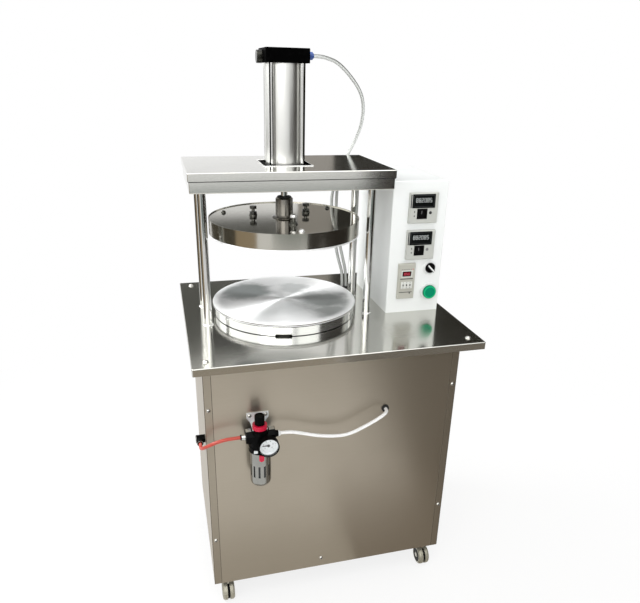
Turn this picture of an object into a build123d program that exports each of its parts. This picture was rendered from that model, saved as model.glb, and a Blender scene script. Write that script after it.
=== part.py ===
"""Automatic tortilla press: two heated platens closed by an air cylinder, on a wheeled cabinet.

Millimetres, +Z up. The origin is on the floor under the middle of the table, and the front faces -Y.
"""

import os
from math import asin, cos, pi, radians, sin, tan

from build123d import *

os.makedirs("parts", exist_ok=True)

SIDES = (-1, 1)
FULL_TURN = 360.0

# Fits and gaps
SEAT = 0.05  # round a screw, stud or pin that stays put
RUN_FIT = 0.05  # round a shaft that turns or slides
PLAY = 0.1  # between flat faces that slide on each other
SEAM = 0.3  # between neighbouring sheets, and round a piece in its hole
CLEAR = 0.5  # round a moving piece or a body in its cut-out

# Table top, a folded pan
TABLE_W = 650.0
TABLE_D = 550.0
TABLE_TOP = 707.0
TABLE_LIP = 17.0
TABLE_SHEET = 1.5
TABLE_CORNER = 3.0
TABLE_ROLL = 2.0  # radius of the folded edge
TABLE_SCREW_INSET = 30.0
CABLE_HOLE_R = 20.0

# Cabinet sheets and the angle frame inside them
OVERHANG_X = 23.0  # of the table past the cabinet's sides
OVERHANG_Y = 72.0  # of the table past the cabinet's front and rear
CABINET_FOOT = 67.0
PANEL_SHEET = 1.2
CORNER_STRIP = 18.0
STRIP_SCREW_HEIGHTS = (205.0, 567.0)
KICK_SCREW_X = -27.0
KICK_SCREW_RISE = 25.0
ANGLE_LEG = 30.0
ANGLE_T = 3.0
GUSSET_SIDE = 64.0
GUSSET_T = 4.0

# Screws
SCREW_HEAD_R = 5.0
SCREW_HEAD_H = 3.0
SCREW_R = 2.5
SCREW_END = 4.0  # thread left behind the last sheet
TABLE_SCREW_HEAD_R = 7.0
TABLE_SCREW_HEAD_H = 5.0
TABLE_SCREW_R = 3.0
TABLE_NUT_AF = 10.0
TABLE_NUT_H = 5.0

# Casters
CASTER_INSET = 33.0
CASTER_TRAIL = 16.0
WHEEL_R = 25.0
WHEEL_GAP = 3.2  # from the middle plane to a wheel's inner face
WHEEL_WIDTH = 12.0
WHEEL_ROUND = 6.5
WHEEL_RIM = 7.0
WHEEL_DISH = 1.6
WHEEL_HUB_R = 7.0
AXLE_R = 3.0
FORK_WEB = 5.0
FORK_EYE_R = 9.0
SWIVEL_R = 16.0
SWIVEL_H = 9.0
STEM_R = 5.0
STEM_HEAD_R = 8.0
STEM_HEAD_H = 3.0

# Press bed and columns
COLUMN_INSET = 29.5  # from the cabinet's left side to the left columns
COLUMN_PITCH_X = 389.0
COLUMN_PITCH_Y = 125.5
COLUMN_R = 9.5
STUD_R = 7.0
STUD_END = 3.0
COLUMN_NUT_AF = 22.0
COLUMN_NUT_H = 11.0
BED_T = 10.0
BED_MARGIN = 24.0
PRESS_Y = 17.5

# Crosshead, two folded sheets round a plate
CROSSHEAD_RISE = 316.0  # from the table to the underside
CROSSHEAD_H = 42.6
CROSSHEAD_MARGIN_X = 30.5  # from the columns to the cover's sides
CROSSHEAD_MARGIN_Y = 70.75
COVER_LIP = 17.3
FOLD_SHEET = 1.2
FOLD_CORNER = 2.0
TRAY_INSET = 2.4
CROSS_PLATE_T = 10.0
CROSS_PLATE_INSET_X = 10.0
CROSS_PLATE_INSET_Y = 30.0
CYLINDER_OPENING = 108.0

# Air cylinder
BORE_R = 40.0
TUBE_WALL = 2.0
CAP_SIDE = 95.0
CAP_H = 29.0
CAP_CORNER = 3.0
CAP_PORT_RISE = 15.5
TIE_ROD_PITCH = 68.0
TIE_ROD_R = 5.0
TIE_NUT_AF = 15.0
TIE_NUT_H = 8.0
TIE_NUT_WELL_R = 9.5
TIE_NUT_WELL = 12.0
TIE_ROD_SUNK = 2.0
NOSE_R = 20.0
NOSE_DROP = 4.0
PISTON_H = 30.0
PISTON_GAP = 0.3
PISTON_END = 8.4  # left under and over the piston at the ends of its stroke
PISTON_GROOVE = 3.0
ROD_R = 12.5
ROD_THREAD_R = 8.0
ROD_SHOULDER = 2.0  # above the crosshead's underside

# Lower platen
LOWER_R = 176.4
LOWER_EDGE_T = 6.0
LOWER_EDGE_ROUND = 2.5
LOWER_CORE_R = 170.4
LOWER_CORE_T = 12.0
FOOT_H = 12.7
FOOT_R = 10.0
FOOT_CIRCLE_R = 95.0
FOOT_COUNT = 4
BAND_SHEET = 1.5
BAND_GAP = 1.5
BAND_NOTCH_W = 38.0
BAND_NOTCH_H = 5.0
BAND_NOTCH_TURN = -12.0  # from the front, to the left

# Upper platen and its cover pan
PLATEN_STROKE = 165.0
PRESSED_GAP = 2.3
UPPER_R = 177.5
UPPER_EDGE_T = 3.5
UPPER_CORE_INSET = 3.5
UPPER_CORE_T = 12.5
PAN_H = 34.5
PAN_RIM = 2.0
PAN_SHEET = 1.5

# Tubular heaters
HEATER_R = 5.0
UPPER_HEATER_INNER_R = 55.0
UPPER_HEATER_OUTER_R = 115.0
LOWER_HEATER_INNER_R = 70.0
LOWER_HEATER_OUTER_R = 120.0
HEATER_GAP = 25.0  # degrees left open between a ring's ends

# Rod coupling and the bolts on the upper platen
FLANGE_R = 40.0
FLANGE_T = 10.0
COUPLING_R = 20.5
COUPLING_H = 67.0
COUPLING_CHAMFER = 3.0
COUPLING_WELL_R = 12.0
COUPLING_WELL = 3.0
COUPLING_BORE_FLOOR = 22.0
LEVEL_CIRCLE_R = 76.0
LEVEL_START = 35.0
LEVEL_R = 4.0
LEVEL_RISE = 21.5
LEVEL_WASHER_R = 10.0
LEVEL_WASHER_T = 1.5
LEVEL_NUT_AF = 13.0
LEVEL_NUT_H = 4.0
LEVEL_HEAD_H = 5.3
DOME_CIRCLE_R = 152.0
DOME_START = 33.0
DOME_R = 6.0
DOME_H = 6.0
DOME_STUD_R = 2.5
BOLT_COUNT = 3
BOLT_DEPTH = 8.0

# Control box
BOX_GAP = 17.0  # from the crosshead's right side
BOX_W = 139.0
BOX_D = 241.0
BOX_FRONT = -59.0
BOX_H = 325.0
BOX_SHEET = 1.5
BOX_ROUND = 3.0
CONTROLLER_SHIFT = 6.5  # from the box's middle, as the next such shifts
CONTROLLER_RISES = (262.0, 173.0)
CONTROLLER_SIDE = 72.0
CONTROLLER_BEZEL = 9.0
CONTROLLER_CHAMFER = 2.0
CONTROLLER_BODY = 66.0
CONTROLLER_DEPTH = 50.0
WINDOW_W = 52.0
WINDOW_H = 29.0
WINDOW_SHIFT = (2.0, 14.5)
WINDOW_DEPTH = 1.0
DIAL_WELL_W = 24.0
DIAL_WELL_H = 21.0
DIAL_SHIFT = (-5.0, -15.0)
DIAL_WELL = 4.0
DIAL_R = 9.0
DIAL_H = 4.0
DIAL_MARK_W = 1.4
DIAL_MARK_L = 8.0
DIAL_MARK_DEPTH = 1.0
DIAL_SHAFT_R = 3.0
DIAL_SHAFT_L = 12.0
TIMER_SHIFT = -22.5
TIMER_RISE = 82.0
TIMER_W = 44.0
TIMER_H = 90.0
TIMER_BEZEL = 6.0
TIMER_CHAMFER = 1.5
TIMER_BODY_W = 38.0
TIMER_BODY_H = 80.0
TIMER_DEPTH = 45.0
DISPLAY_W = 23.0
DISPLAY_H = 13.0
DISPLAY_RISE = 19.0
KEY_BLOCK_W = 30.0
KEY_BLOCK_H = 18.0
KEY_BLOCK_T = 2.0
KEY_BLOCK_RISE = -9.0
KEY_SLOT_W = 3.0
KEY_SLOT_H = 10.0
KEY_PITCH = 9.0
KEY_COUNT = 3
SELECTOR_SHIFT = 38.2
SELECTOR_RISE = 113.0
SELECTOR_RING_R = 15.0
SELECTOR_RING_T = 5.0
SELECTOR_R = 12.5
SELECTOR_H = 6.0
SELECTOR_GRIP_W = 7.0
SELECTOR_GRIP_H = 6.0
SELECTOR_GRIP_TURN = 135.0
SELECTOR_SHAFT_R = 5.0
SELECTOR_SHAFT_L = 20.0
SELECTOR_BARREL_R = 11.0
SELECTOR_BARREL_L = 28.0
BUTTON_SHIFT = 39.5
BUTTON_RISE = 52.0
BUTTON_R = 17.0
BUTTON_TRAVEL = 4.0
BUTTON_PROUD = 6.0
BUTTON_ROUND = 2.0
BUTTON_RING = 4.0
BUTTON_RING_T = 8.0
BUTTON_STEM_R = 6.0
BUTTON_STEM_L = 18.0
BUTTON_BARREL_R = 15.0
BUTTON_BARREL_L = 36.0
SWITCH_FLOOR = 0.6

# Filter and regulator in front of the cabinet
REG_X = -185.0
REG_REACH = 31.0  # from the front panel to the regulator's axis
PORT_Z = 509.0
PORT_REACH = 33.0
PORT_BLOCK_H = 32.0
PORT_BLOCK_EDGE = 9.0
PORT_BLOCK_CORNER = 8.0
BONNET_R = 17.0
BONNET_SLOPE = 3.0
REG_BODY_R = 25.0
REG_BODY_H = 53.0
COLLAR_H = 14.0
REG_HEAD = 17.0  # from the ports to the top of the body
NECK_R = 11.0
NECK_H = 12.5
SPINDLE_R = 4.0
SPINDLE_H = 15.0
BRACKET_T = 2.0
BRACKET_W = 34.0
BRACKET_EAR_W = 50.0
BRACKET_EAR_RISE = 12.0  # from the fold to the ears
BRACKET_RISE = 25.5
BRACKET_NOSE = 6.0  # past the regulator's axis
BRACKET_SCREW_DX = 18.0
BRACKET_SCREW_RISE = 18.0
LOCK_RING_R = 16.5
LOCK_RING_H = 10.5
LOCK_RING_RIBS = 18
KNOB_R = 11.2
KNOB_H = 22.5
KNOB_EDGE = 1.5
KNOB_DISH_R = 7.5
KNOB_DISH = 1.2
KNOB_FLUTES = 16
FLUTE_R = 0.8
GUARD_R = 23.4
GUARD_WALL = 1.5
GUARD_H = 90.0
GUARD_ROUND = 12.0
GUARD_SLOTS = 12
GUARD_SLOT_W = 4.5
GUARD_SLOT_H = 30.0
GUARD_SLOT_RISE = 42.0
GUARD_SLOT_START = 15.0
BOWL_GAP = 0.4
BOWL_FLOOR_GAP = 1.5
BOWL_WALL = 2.0
LATCH_TURN = -92.0
LATCH_W = 11.0
LATCH_H = 15.0
LATCH_T = 4.0
LATCH_ROUND = 5.0
LATCH_DROP = 8.5  # from the body to the latch's middle
LATCH_TRAVEL = 3.0
TONGUE_W = 4.0
TONGUE_H = 8.0
TONGUE_L = 1.4

# Pressure gauge
GAUGE_SHIFT = 14.0
GAUGE_DROP = 9.6
GAUGE_REACH = 26.0  # from the regulator's axis to the gauge
GAUGE_R = 23.0
GAUGE_DEPTH = 15.0
GAUGE_WALL = 1.5
GAUGE_STEM_R = 6.0
GAUGE_STEM_L = 2.0
GAUGE_BOSS_R = 8.0
LENS_LEDGE = 1.0
LENS_SUNK = 1.0
LENS_T = 1.5
DIAL_PLATE_T = 0.8
DIAL_PIN_R = 1.0
DIAL_PIN_L = 4.0
NEEDLE_LIFT = 2.0
NEEDLE_T = 0.8
NEEDLE_HUB_R = 2.5
NEEDLE_L = 14.0
NEEDLE_W = 1.6

# Air fittings and the solenoid valve
TUBE_R = 4.0
FITTING_R = 6.5
FITTING_HEX_R = 8.0
FITTING_HEX_L = 3.0
THREAD_R = 5.0
THREAD_L = 8.0
INLET_L = 8.0
OUTLET_L = 11.0
CAP_FITTING_HEX_L = 4.5
CAP_FITTING_L = 15.5
CAP_PLUG_L = 12.0
CAP_PLUG_AF = 22.0
CAP_PLUG_RISE = 11.5
ELBOW_Y = -166.0
ELBOW_Z = 475.0
ELBOW_R = 9.0
ELBOW_L = 20.5
ELBOW_PORT_R = 7.0
ELBOW_PORT_L = 21.0
ELBOW_PORT_OUT = 12.0
BULKHEAD_SHIFT_X = 162.0
BULKHEAD_SHIFT_Y = 114.5
BULKHEAD_R = 7.0
BULKHEAD_DROP = 11.0
BULKHEAD_NUT_R = 9.0
BULKHEAD_NUT_H = 5.0
PIPE_R = 3.0
PIPE_RISE = 14.0
PIPE_BEND = 8.0
GROMMET_R = 9.0
GROMMET_T = 3.0
GROMMET_NECK_R = 6.5
PANEL_GROMMET_X = 122.0
PANEL_GROMMET_Z = 522.0
TABLE_GROMMET_X = 119.0
TABLE_GROMMET_Y = 156.0
TABLE_GROMMET_W = 26.0
TABLE_GROMMET_D = 16.0
TABLE_GROMMET_NECK = 2.5
GLAND_X = 200.0
GLAND_Z = 130.0
GLAND_HEX_AF = 24.0
GLAND_HEX_T = 6.0
GLAND_R = 10.0
GLAND_L = 14.0
GLAND_NECK_R = 8.0
VALVE_X = 95.0
VALVE_Z = 470.0
VALVE_W = 66.0
VALVE_D = 30.0
VALVE_H = 40.0
VALVE_EDGE = 2.0
COIL_R = 13.0
COIL_L = 32.0

# Free tubes: routes chosen by hand, straight runs that are joined by tangent arcs
BEND_SHARE = 0.45
SUPPLY_ROUTE = (
    (-226.0, -234.0, 509.0),
    (-243.0, -234.0, 509.0),
    (-262.0, -234.0, 505.5),
    (-280.0, -233.5, 499.5),
    (-292.0, -230.0, 492.0),
    (-302.5, -222.5, 485.0),
    (-310.0, -212.5, 479.0),
    (-314.0, -200.0, 475.0),
    (-314.0, -187.0, 475.0),
)
OUTLET_ROUTE = (
    (-141.0, -234.0, 509.0),
    (-118.0, -234.0, 509.0),
    (-93.0, -234.0, 502.5),
    (-58.0, -233.5, 490.5),
    (-22.0, -233.0, 482.5),
    (15.0, -233.0, 480.0),
    (40.0, -233.0, 487.5),
    (66.0, -233.0, 499.0),
    (87.5, -232.0, 509.0),
    (103.5, -229.0, 516.0),
    (115.5, -223.5, 520.0),
    (122.0, -215.0, 522.0),
    (122.0, -206.0, 522.0),
)
UPPER_PORT_ROUTE = (
    (-15.0, 17.5, 1290.5),
    (3.0, 17.5, 1290.5),
    (22.0, 22.0, 1287.0),
    (42.0, 30.0, 1279.0),
    (63.0, 42.0, 1264.0),
    (84.0, 56.0, 1245.0),
    (105.0, 73.0, 1225.0),
    (123.0, 92.0, 1203.0),
    (137.0, 112.0, 1175.0),
    (142.0, 132.0, 1140.0),
    (136.0, 150.0, 1103.0),
    (122.0, 162.0, 1067.0),
    (104.0, 168.0, 1034.0),
    (89.0, 168.0, 1000.0),
    (80.0, 165.0, 966.0),
    (78.0, 161.0, 928.0),
    (84.0, 159.0, 878.0),
    (92.0, 158.0, 826.0),
    (102.0, 157.0, 782.0),
    (114.0, 156.0, 747.0),
    (114.0, 156.0, 710.0),
)
LOWER_PORT_ROUTE = (
    (84.0, 132.0, 1012.0),
    (84.0, 132.0, 982.0),
    (84.0, 138.0, 940.0),
    (90.0, 144.0, 888.0),
    (99.0, 147.0, 836.0),
    (112.0, 150.0, 790.0),
    (124.0, 156.0, 747.0),
    (124.0, 156.0, 710.0),
)

# Places worked out from the driving dimensions
UNDER_TABLE = TABLE_TOP - TABLE_SHEET
CABINET_W = TABLE_W - 2 * OVERHANG_X
CABINET_D = TABLE_D - 2 * OVERHANG_Y
FRAME_X = CABINET_W / 2 - PANEL_SHEET
FRAME_Y = CABINET_D / 2 - PANEL_SHEET
PANEL_FRONT = -CABINET_D / 2
PANEL_H = UNDER_TABLE - CABINET_FOOT
STRIP_SCREW_X = CABINET_W / 2 - CORNER_STRIP / 2
KICK_SCREW_Z = CABINET_FOOT + KICK_SCREW_RISE
BED_BOTTOM = UNDER_TABLE - BED_T
CASTER_X = FRAME_X - CASTER_INSET
CASTER_Y = FRAME_Y - CASTER_INSET

PRESS_X = COLUMN_PITCH_X / 2 + COLUMN_INSET - CABINET_W / 2
COLUMN_SPOTS = [
    (PRESS_X + side_x * COLUMN_PITCH_X / 2, PRESS_Y + side_y * COLUMN_PITCH_Y / 2)
    for side_x in SIDES
    for side_y in SIDES
]
TIE_ROD_SPOTS = [
    (PRESS_X + side_x * TIE_ROD_PITCH / 2, PRESS_Y + side_y * TIE_ROD_PITCH / 2)
    for side_x in SIDES
    for side_y in SIDES
]

TRAY_BOTTOM = TABLE_TOP + CROSSHEAD_RISE
CROSS_PLATE_BOTTOM = TRAY_BOTTOM + FOLD_SHEET
CROSS_PLATE_TOP = CROSS_PLATE_BOTTOM + CROSS_PLATE_T
COVER_TOP = TRAY_BOTTOM + CROSSHEAD_H
CROSSHEAD_W = COLUMN_PITCH_X + 2 * CROSSHEAD_MARGIN_X
CROSSHEAD_D = COLUMN_PITCH_Y + 2 * CROSSHEAD_MARGIN_Y
TRAY_W = CROSSHEAD_W - 2 * TRAY_INSET
TRAY_D = CROSSHEAD_D - 2 * TRAY_INSET
CROSS_PLATE_W = TRAY_W - 2 * FOLD_SHEET - 2 * CROSS_PLATE_INSET_X
CROSS_PLATE_D = TRAY_D - 2 * FOLD_SHEET - 2 * CROSS_PLATE_INSET_Y

TUBE_BOTTOM = CROSS_PLATE_TOP + CAP_H
TUBE_TOP = TUBE_BOTTOM + PLATEN_STROKE + PISTON_H + 2 * PISTON_END
CAP_TOP = TUBE_TOP + CAP_H
CAP_PORT_Z = TUBE_TOP + CAP_PORT_RISE
CAP_PLUG_Z = TUBE_TOP + CAP_PLUG_RISE
FRONT_PORT_Z = CROSS_PLATE_TOP + PIPE_RISE
PISTON_TOP = TUBE_TOP - PISTON_END
PISTON_BOTTOM = PISTON_TOP - PISTON_H

LOWER_CORE_BOTTOM = TABLE_TOP + FOOT_H
LOWER_CORE_TOP = LOWER_CORE_BOTTOM + LOWER_CORE_T
LOWER_TOP = LOWER_CORE_TOP + LOWER_EDGE_T
BAND_R = LOWER_CORE_R + CLEAR + BAND_SHEET
UPPER_BOTTOM = LOWER_TOP + PRESSED_GAP + PLATEN_STROKE
PAN_BOTTOM = UPPER_BOTTOM + UPPER_EDGE_T
UPPER_TOP = PAN_BOTTOM + UPPER_CORE_T
PAN_TOP = PAN_BOTTOM + PAN_H
PAN_FLOOR = PAN_TOP - PAN_RIM
ROD_END = UPPER_TOP + COUPLING_BORE_FLOOR

BOX_X = PRESS_X + CROSSHEAD_W / 2 + BOX_GAP + BOX_W / 2
BOX_Y = BOX_FRONT + BOX_D / 2
CONTROLLER_SPOTS = [(BOX_X + CONTROLLER_SHIFT, TABLE_TOP + rise) for rise in CONTROLLER_RISES]
DIAL_SPOTS = [(x + DIAL_SHIFT[0], z + DIAL_SHIFT[1]) for x, z in CONTROLLER_SPOTS]
WINDOW_SPOTS = [(x + WINDOW_SHIFT[0], z + WINDOW_SHIFT[1]) for x, z in CONTROLLER_SPOTS]
TIMER_SPOT = (BOX_X + TIMER_SHIFT, TABLE_TOP + TIMER_RISE)
SELECTOR_SPOT = (BOX_X + SELECTOR_SHIFT, TABLE_TOP + SELECTOR_RISE)
BUTTON_SPOT = (BOX_X + BUTTON_SHIFT, TABLE_TOP + BUTTON_RISE)
DIAL_FLOOR = CONTROLLER_BEZEL - DIAL_WELL
BUTTON_BORE_R = BUTTON_R + SEAM

REG_Y = PANEL_FRONT - REG_REACH
REG_TOP = PORT_Z + REG_HEAD
REG_BOTTOM = REG_TOP - REG_BODY_H
BRACKET_TOP = REG_TOP + BRACKET_T
LOCK_RING_TOP = BRACKET_TOP + LOCK_RING_H
KNOB_BOTTOM = LOCK_RING_TOP + CLEAR
BRACKET_SCREW_Z = REG_TOP + BRACKET_SCREW_RISE
BOWL_R = GUARD_R - GUARD_WALL - BOWL_GAP
GUARD_BOTTOM = REG_BOTTOM - GUARD_H
BOWL_BOTTOM = GUARD_BOTTOM + GUARD_WALL + BOWL_FLOOR_GAP
LATCH_Z = REG_BOTTOM - LATCH_DROP

GAUGE_X = REG_X + GAUGE_SHIFT
GAUGE_Z = PORT_Z - GAUGE_DROP
GAUGE_BACK = REG_Y - GAUGE_REACH
GAUGE_INSIDE_R = GAUGE_R - GAUGE_WALL
LENS_SEAT = GAUGE_DEPTH - LENS_SUNK - LENS_T

BULKHEAD_X = PRESS_X + BULKHEAD_SHIFT_X
BULKHEAD_Y = PRESS_Y + BULKHEAD_SHIFT_Y

# Sketch planes on upright faces: local X is X, local Y is Z, and the normal points out of the face
BOX_FACE = Plane(origin=(0, BOX_FRONT, 0), x_dir=(1, 0, 0), z_dir=(0, -1, 0))
FRONT_FACE = Plane(origin=(0, PANEL_FRONT, 0), x_dir=(1, 0, 0), z_dir=(0, -1, 0))

MIN_Z = (Align.CENTER, Align.CENTER, Align.MIN)


# Planes for turned pieces: local X is the radius and local Y runs along the axis


def upright(x, y, z=0.0):
    """Plane of a piece that is turned about an upright axis."""
    return Plane(origin=(x, y, z), x_dir=(1, 0, 0), z_dir=(0, -1, 0))


def forward(x, y, z):
    """Plane of a piece that is turned about an axis towards the front."""
    return Plane(origin=(x, y, z), x_dir=(1, 0, 0), z_dir=(0, 0, -1))


def rearward(x, y, z):
    """Plane of a piece that is turned about an axis towards the rear."""
    return Plane(origin=(x, y, z), x_dir=(1, 0, 0), z_dir=(0, 0, 1))


def sideways(x, y, z, side):
    """Plane of a piece that is turned about an axis to the right (side 1) or to the left (side -1)."""
    return Plane(origin=(x, y, z), x_dir=(0, 1, 0), z_dir=(0, 0, -side))


# Operations that several pieces share; each one works on the part that is open


def turned(plane, profile, mode=Mode.ADD):
    """Turn a closed profile of (radius, height) points about the plane's axis."""
    with BuildSketch(plane) as section:
        with BuildLine():
            Polyline(*profile, close=True)
        make_face()
    revolve(section.sketch, axis=Axis(plane.origin, plane.y_dir), mode=mode)


def dome_screw(plane, head_r, head_h, shank_r, shank_l):
    """Screw with a dome head that sits on the plane's origin and a shank below it."""
    sphere_r = (head_r**2 + head_h**2) / (2 * head_h)
    half_way = asin(head_r / sphere_r) / 2
    crown = (sphere_r * sin(half_way), head_h - sphere_r * (1 - cos(half_way)))
    with BuildSketch(plane) as section:
        with BuildLine():
            Polyline((0, head_h), (0, -shank_l), (shank_r, -shank_l), (shank_r, 0), (head_r, 0))
            ThreePointArc((head_r, 0), crown, (0, head_h))
        make_face()
    revolve(section.sketch, axis=Axis(plane.origin, plane.y_dir))


def bore_forward(spots, y, radius, depth):
    """Round holes along Y, centred on the depth y, at (x, z) spots."""
    with Locations(*[Location((x, y, z), (90, 0, 0)) for x, z in spots]):
        Cylinder(radius, depth, mode=Mode.SUBTRACT)


def bore_down(spots, top, radius, depth):
    """Round upright holes from the height top downwards, at (x, y) spots."""
    with Locations(*[(x, y, top - depth) for x, y in spots]):
        Cylinder(radius, depth, align=MIN_Z, mode=Mode.SUBTRACT)


def hexagons(plane, spots, across_flats, height, bore=0.0):
    """Hexagons on a plane, with a bore where one is given."""
    with BuildSketch(plane) as outline:
        with Locations(*spots):
            RegularPolygon(across_flats / 2, 6, major_radius=False)
            if bore:
                Circle(bore, mode=Mode.SUBTRACT)
    extrude(outline.sketch, amount=height)


def heater_rings(radii, z):
    """Tubular heater bent to open rings round the press axis."""
    for ring in radii:
        with BuildSketch(upright(PRESS_X, PRESS_Y, z)) as section:
            with Locations((ring, 0)):
                Circle(HEATER_R)
        press_axis = Axis((PRESS_X, PRESS_Y, z), (0, 0, 1))
        revolve(section.sketch, axis=press_axis, revolution_arc=FULL_TURN - HEATER_GAP)


def free_tube(name, route):
    """Round tube along straight runs with tangent arcs; prints what it measures."""
    runs = [Vector(*end) - Vector(*start) for start, end in zip(route, route[1:])]
    radii = []
    for before, after in zip(runs, runs[1:]):
        half_turn = radians(before.get_angle(after)) / 2
        radii.append(BEND_SHARE * min(before.length, after.length) / tan(half_turn))
    with BuildLine() as path:
        FilletPolyline(*route, radius=radii)
    with BuildSketch(Plane(origin=route[0], z_dir=runs[0])) as section:
        Circle(TUBE_R)
    swept = sweep(section.sketch, path=path.wires()[0])
    length = path.wires()[0].length
    share = swept.volume / (pi * TUBE_R**2 * length)
    print(f"{name}: length {length:.0f}, least radius {min(radii):.0f}, volume share {share:.3f}")


def angle_section(heel_u, heel_v, across, up):
    """Outline of an angle bar with its heel at a point; across and up are 1 or -1."""
    return [
        (heel_u, heel_v),
        (heel_u + across * ANGLE_LEG, heel_v),
        (heel_u + across * ANGLE_LEG, heel_v + up * ANGLE_T),
        (heel_u + across * ANGLE_T, heel_v + up * ANGLE_T),
        (heel_u + across * ANGLE_T, heel_v + up * ANGLE_LEG),
        (heel_u, heel_v + up * ANGLE_LEG),
    ]


def angle_bar(plane, outline, length, both):
    """Angle bar along the plane's normal."""
    with BuildSketch(plane) as section:
        with BuildLine():
            Polyline(*outline, close=True)
        make_face()
    extrude(section.sketch, amount=length, both=both)


def finish(piece, name):
    """Label a finished piece and write it to its own file."""
    piece.part.label = name
    export_step(piece.part, f"parts/{name}.step")


# Cabinet

STRIP_SCREW_SPOTS = [(side * STRIP_SCREW_X, z) for side in SIDES for z in STRIP_SCREW_HEIGHTS]
BRACKET_SCREW_SPOTS = [(REG_X + side * BRACKET_SCREW_DX, BRACKET_SCREW_Z) for side in SIDES]
KICK_SCREW_SPOT = (KICK_SCREW_X, KICK_SCREW_Z)
TABLE_SCREW_SPOTS = [
    (side_x * (TABLE_W / 2 - TABLE_SCREW_INSET), side_y * (TABLE_D / 2 - TABLE_SCREW_INSET))
    for side_x in SIDES
    for side_y in SIDES
]
CASTER_SPOTS = [(side_x * CASTER_X, side_y * CASTER_Y) for side_x in SIDES for side_y in SIDES]
BEARER_X = PRESS_X + COLUMN_PITCH_X / 2 - ANGLE_LEG / 2
GUSSET_X = FRAME_X - GUSSET_SIDE / 2
GUSSET_Y = FRAME_Y - GUSSET_SIDE / 2
ANGLE_BORE = 4 * ANGLE_T

with BuildPart() as cabinet_frame:
    for side_x in SIDES:
        for side_y in SIDES:
            post = angle_section(side_x * FRAME_X, side_y * FRAME_Y, -side_x, -side_y)
            angle_bar(Plane.XY.offset(CABINET_FOOT), post, PANEL_H, False)
    for side in SIDES:
        angle_bar(Plane.YZ, angle_section(side * FRAME_Y, UNDER_TABLE, -side, -1), FRAME_X, True)
        angle_bar(Plane.YZ, angle_section(side * FRAME_Y, CABINET_FOOT, -side, 1), FRAME_X, True)
        angle_bar(Plane.XZ, angle_section(side * FRAME_X, BED_BOTTOM, -side, -1), FRAME_Y, True)
        angle_bar(Plane.XZ, angle_section(side * FRAME_X, CABINET_FOOT, -side, 1), FRAME_Y, True)
    angle_bar(Plane.XZ, angle_section(BEARER_X, BED_BOTTOM, 1, -1), FRAME_Y, True)
    with Locations((0, 0, CABINET_FOOT)):
        with GridLocations(2 * GUSSET_X, 2 * GUSSET_Y, 2, 2):
            Box(GUSSET_SIDE, GUSSET_SIDE, GUSSET_T, align=MIN_Z)
    bore_down(CASTER_SPOTS, CABINET_FOOT + GUSSET_T, STEM_R + RUN_FIT, GUSSET_T)
    bore_forward(STRIP_SCREW_SPOTS, -FRAME_Y, SCREW_R + SEAT, ANGLE_BORE)
    bore_forward(STRIP_SCREW_SPOTS, FRAME_Y, SCREW_R + SEAT, ANGLE_BORE)
    bore_forward([KICK_SCREW_SPOT], -FRAME_Y, SCREW_R + SEAT, ANGLE_BORE)
finish(cabinet_frame, "cabinet_frame")

for side, name in zip(SIDES, ("left_panel", "right_panel")):
    outer_x = side * CABINET_W / 2
    inner_x = side * FRAME_X
    strip_x = side * (CABINET_W / 2 - CORNER_STRIP)
    with BuildPart() as side_panel:
        with BuildSketch(Plane.XY.offset(CABINET_FOOT)):
            with BuildLine():
                Polyline(
                    (outer_x, PANEL_FRONT),
                    (strip_x, PANEL_FRONT),
                    (strip_x, -FRAME_Y),
                    (inner_x, -FRAME_Y),
                    (inner_x, FRAME_Y),
                    (strip_x, FRAME_Y),
                    (strip_x, -PANEL_FRONT),
                    (outer_x, -PANEL_FRONT),
                    close=True,
                )
            make_face()
        extrude(amount=PANEL_H)
        own_screws = [spot for spot in STRIP_SCREW_SPOTS if spot[0] * side > 0]
        bore_forward(own_screws, -FRAME_Y, SCREW_R + SEAT, ANGLE_BORE)
        bore_forward(own_screws, FRAME_Y, SCREW_R + SEAT, ANGLE_BORE)
        if side < 0:
            with Locations(Location((outer_x, ELBOW_Y, ELBOW_Z), (0, 90, 0))):
                Cylinder(THREAD_R + SEAT, ANGLE_BORE, mode=Mode.SUBTRACT)
    finish(side_panel, name)

with BuildPart() as front_panel:
    with BuildSketch(FRONT_FACE):
        with Locations((0, CABINET_FOOT + PANEL_H / 2)):
            Rectangle(CABINET_W - 2 * CORNER_STRIP - 2 * SEAM, PANEL_H)
        with Locations((PANEL_GROMMET_X, PANEL_GROMMET_Z)):
            Circle(GROMMET_NECK_R + SEAT, mode=Mode.SUBTRACT)
        with Locations(KICK_SCREW_SPOT, *BRACKET_SCREW_SPOTS):
            Circle(SCREW_R + SEAT, mode=Mode.SUBTRACT)
    extrude(amount=-PANEL_SHEET)
finish(front_panel, "front_panel")

with BuildPart() as rear_panel:
    with BuildSketch(FRONT_FACE.offset(-CABINET_D)):
        with Locations((0, CABINET_FOOT + PANEL_H / 2)):
            Rectangle(CABINET_W - 2 * CORNER_STRIP - 2 * SEAM, PANEL_H)
        with Locations((GLAND_X, GLAND_Z)):
            Circle(GLAND_NECK_R + SEAT, mode=Mode.SUBTRACT)
    extrude(amount=PANEL_SHEET)
finish(rear_panel, "rear_panel")

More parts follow.
